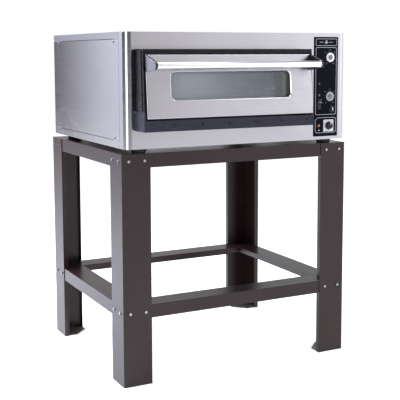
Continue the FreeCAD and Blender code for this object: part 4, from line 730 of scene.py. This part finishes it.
TILT = math.radians(-4.93)
door_place = Matrix.Translation(HINGE) @ Matrix.Rotation(TILT, 4, "X")

bead = bmesh.new()
seal_line = rounded(-0.2538, 0.2538, 0.0427, 0.1458, 0.0188, 8)
tube(bead, [Vector((x, 0.0030, z)) for x, z in seal_line], 0.0014)
smooth(add_piece("window_seal", bead, "door", silicone(), door_place))

bezel = bmesh.new()
rows = [(rounded(-0.2549 + inset, 0.2549 - inset, 0.0416 + inset, 0.1469 - inset, 0.0199 - inset, 8), depth)
        for inset, depth in ((0.0, -0.0158), (0.0011, -0.0156), (0.0040, -0.0118), (0.0040, -0.0060),
                             (0.0, -0.0060))]
rows = [[bezel.verts.new((x, depth, z)) for x, z in line] for line, depth in rows]
for near, far in zip(rows, rows[1:] + rows[:1]):
    for k in range(len(near)):
        after = (k + 1) % len(near)
        bezel.faces.new((near[k], near[after], far[after], far[k]))
add_piece("window_bezel", bezel, "door", polished_edge(), door_place)

collars = bmesh.new()
for side in (-1, 1):
    path = [Vector((side * 0.3387, -0.0880 + 0.0130 * math.cos(turn), 0.1630 + 0.0130 * math.sin(turn)))
            for turn in (2 * math.pi * step / 32 for step in range(32))]
    tube(collars, path, 0.0010, 8)
smooth(add_piece("handle_welds", collars, "door", weld(), door_place))

# ---------------------------------------------------------------- stage, light and camera

REACH = 8.0   # half the floor's side
floor_mesh = bmesh.new()
bmesh.ops.create_grid(floor_mesh, x_segments=4, y_segments=4, size=REACH)
floor_data = bpy.data.meshes.new("floor")
floor_mesh.to_mesh(floor_data)
floor_mesh.free()
floor = bpy.data.objects.new("floor", floor_data)
bpy.context.scene.collection.objects.link(floor)
floor_finish = Finish("pale_floor", specular_ior_level=0.2)
floor_cloud = floor_finish.noise(1.5, 3.0)
floor_finish.give("Base Color", floor_finish.blend(floor_cloud, (0.58, 0.58, 0.59), (0.62, 0.62, 0.62)))
floor_finish.give("Roughness", floor_finish.span(floor_cloud, 0.6, 0.75))
floor_finish.give("Emission Color", (1.0, 1.0, 1.0))
floor_finish.give("Emission Strength", 0.76)
floor_data.materials.append(floor_finish.material)

def set_stops(ramp, stops):
    """Gives a colour ramp, which starts with two stops, the (place, colour) stops listed."""
    for number, (place, tone) in enumerate(stops):
        if number < 2:
            stop = ramp.elements[number]
            stop.position = place
        else:
            stop = ramp.elements.new(place)
        stop.color = (*tone, 1)


# The room's light by compass direction in degrees, 0 at +Y and 90 at +X: bright beyond the right
# front corner, pale behind the oven on the left, and dark between.
ROOM = ((-180, 0.20, 0.20, 0.22), (-150, 0.14, 0.14, 0.16), (-138, 0.55, 0.56, 0.60),
        (-104, 0.55, 0.56, 0.60), (-86, 0.10, 0.10, 0.12), (-50, 0.10, 0.10, 0.12),
        (-34, 1.45, 1.48, 1.70), (-21, 1.32, 1.35, 1.56), (-17.6, 0.06, 0.05, 0.05),
        (-8, 0.16, 0.15, 0.16), (4, 0.70, 0.70, 0.72), (20, 1.0, 1.0, 1.0), (60, 1.2, 1.2, 1.2),
        (78, 0.6, 0.6, 0.62), (96, 2.2, 2.2, 2.25), (136, 2.3, 2.3, 2.4), (143, 1.95, 1.95, 2.03),
        (147, 1.45, 1.44, 1.54), (152, 1.35, 1.33, 1.38), (158, 0.95, 0.92, 0.96),
        (174, 0.28, 0.28, 0.30))
CEILING = (0.42, 0.43, 0.50)
world = bpy.data.worlds.new("studio")
world.use_nodes = True
tree = world.node_tree
sky = tree.nodes["Background"]
sky.inputs["Strength"].default_value = 1.0
split = tree.nodes.new("ShaderNodeSeparateXYZ")
tree.links.new(tree.nodes.new("ShaderNodeTexCoord").outputs["Generated"], split.inputs[0])
compass = tree.nodes.new("ShaderNodeMath")
compass.operation = "ARCTAN2"
tree.links.new(split.outputs["X"], compass.inputs[0])
tree.links.new(split.outputs["Y"], compass.inputs[1])
share = tree.nodes.new("ShaderNodeMapRange")
share.inputs["From Min"].default_value = -math.pi
share.inputs["From Max"].default_value = math.pi
tree.links.new(compass.outputs[0], share.inputs["Value"])
walls = tree.nodes.new("ShaderNodeValToRGB")
walls.color_ramp.interpolation = "EASE"
set_stops(walls.color_ramp, [((turn + 180) / 360, tone) for turn, *tone in ROOM])
tree.links.new(share.outputs["Result"], walls.inputs["Fac"])
# The walls are brightest just above the horizon and fall off on both sides of it.
FALL = ((-0.30, 0.50), (-0.10, 0.78), (0.02, 1.0), (0.07, 0.98), (0.12, 0.80), (0.20, 0.66),
        (0.40, 0.62))
height = tree.nodes.new("ShaderNodeMapRange")
height.inputs["From Min"].default_value = FALL[0][0]
height.inputs["From Max"].default_value = FALL[-1][0]
tree.links.new(split.outputs["Z"], height.inputs["Value"])
fall = tree.nodes.new("ShaderNodeValToRGB")
lowest, highest = FALL[0][0], FALL[-1][0]
set_stops(fall.color_ramp, [((level_z - lowest) / (highest - lowest), (light, light, light))
                            for level_z, light in FALL])
tree.links.new(height.outputs["Result"], fall.inputs["Fac"])
dimmed = tree.nodes.new("ShaderNodeVectorMath")
dimmed.operation = "MULTIPLY"
tree.links.new(walls.outputs["Color"], dimmed.inputs[0])
tree.links.new(fall.outputs["Color"], dimmed.inputs[1])
rise = tree.nodes.new("ShaderNodeMapRange")
rise.interpolation_type = "SMOOTHSTEP"
rise.inputs["From Min"].default_value = 0.35
rise.inputs["From Max"].default_value = 0.85
tree.links.new(split.outputs["Z"], rise.inputs["Value"])
room = tree.nodes.new("ShaderNodeMix")
room.data_type = "RGBA"
tree.links.new(rise.outputs["Result"], room.inputs[0])
tree.links.new(dimmed.outputs["Vector"], room.inputs[6])
room.inputs[7].default_value = (*CEILING, 1)
seen = tree.nodes.new("ShaderNodeMix")
seen.data_type = "RGBA"
tree.links.new(tree.nodes.new("ShaderNodeLightPath").outputs["Is Camera Ray"], seen.inputs[0])
tree.links.new(room.outputs[2], seen.inputs[6])
seen.inputs[7].default_value = (1.0, 1.0, 1.0, 1)
tree.links.new(seen.outputs[2], sky.inputs["Color"])
bpy.context.scene.world = world
bpy.context.scene.view_settings.view_transform = "Standard"


def softbox(name, place, target, wide, high, power, tone=(1.0, 1.0, 1.0)):
    """A large rectangular light that looks at a point."""
    lamp = bpy.data.lights.new(name, "AREA")
    lamp.shape = "RECTANGLE"
    lamp.size = wide
    lamp.size_y = high
    lamp.energy = power
    lamp.color = tone
    holder = bpy.data.objects.new(name, lamp)
    holder.location = place
    holder.rotation_mode = "QUATERNION"
    holder.rotation_quaternion = (Vector(target) - Vector(place)).to_track_quat("-Z", "Y")
    holder.visible_camera = False
    bpy.context.scene.collection.objects.link(holder)


OVEN = (0, 0, 0.9)   # where the boxes aim
softbox("left_floor_box", (-1.7, 1.4, 2.6), (-1.7, 1.4, 0), 1.8, 1.8, 205, (0.86, 0.92, 1.14))
softbox("left_front_box", (-3.6, -2.4, 1.3), OVEN, 1.7, 3.0, 62)
softbox("right_front_box", (3.0, -3.6, 3.6), OVEN, 2.2, 2.0, 45)
softbox("top_box", (0, 0.2, 4.2), OVEN, 3.0, 3.0, 75)

camera_data = bpy.data.cameras.new("camera")
camera_data.lens = 79.93
camera_data.sensor_width = 36.0
camera_data.shift_y = -0.125
camera = bpy.data.objects.new("camera", camera_data)
CAMERA_PLACE = (-1.6804, -3.2885, 1.2392)
YAW, PITCH, ROLL = math.radians(26.927), math.radians(6.239), math.radians(-0.173)
ahead = Vector((math.sin(YAW) * math.cos(PITCH), math.cos(YAW) * math.cos(PITCH), -math.sin(PITCH)))
level = Vector((math.cos(YAW), -math.sin(YAW), 0))
above = level.cross(ahead)
right = level * math.cos(ROLL) + above * math.sin(ROLL)
upward = above * math.cos(ROLL) - level * math.sin(ROLL)
facing = Matrix((right, upward, -ahead)).transposed().to_4x4()
camera.matrix_world = Matrix.Translation(CAMERA_PLACE) @ facing
bpy.context.scene.collection.objects.link(camera)
bpy.context.scene.camera = camera
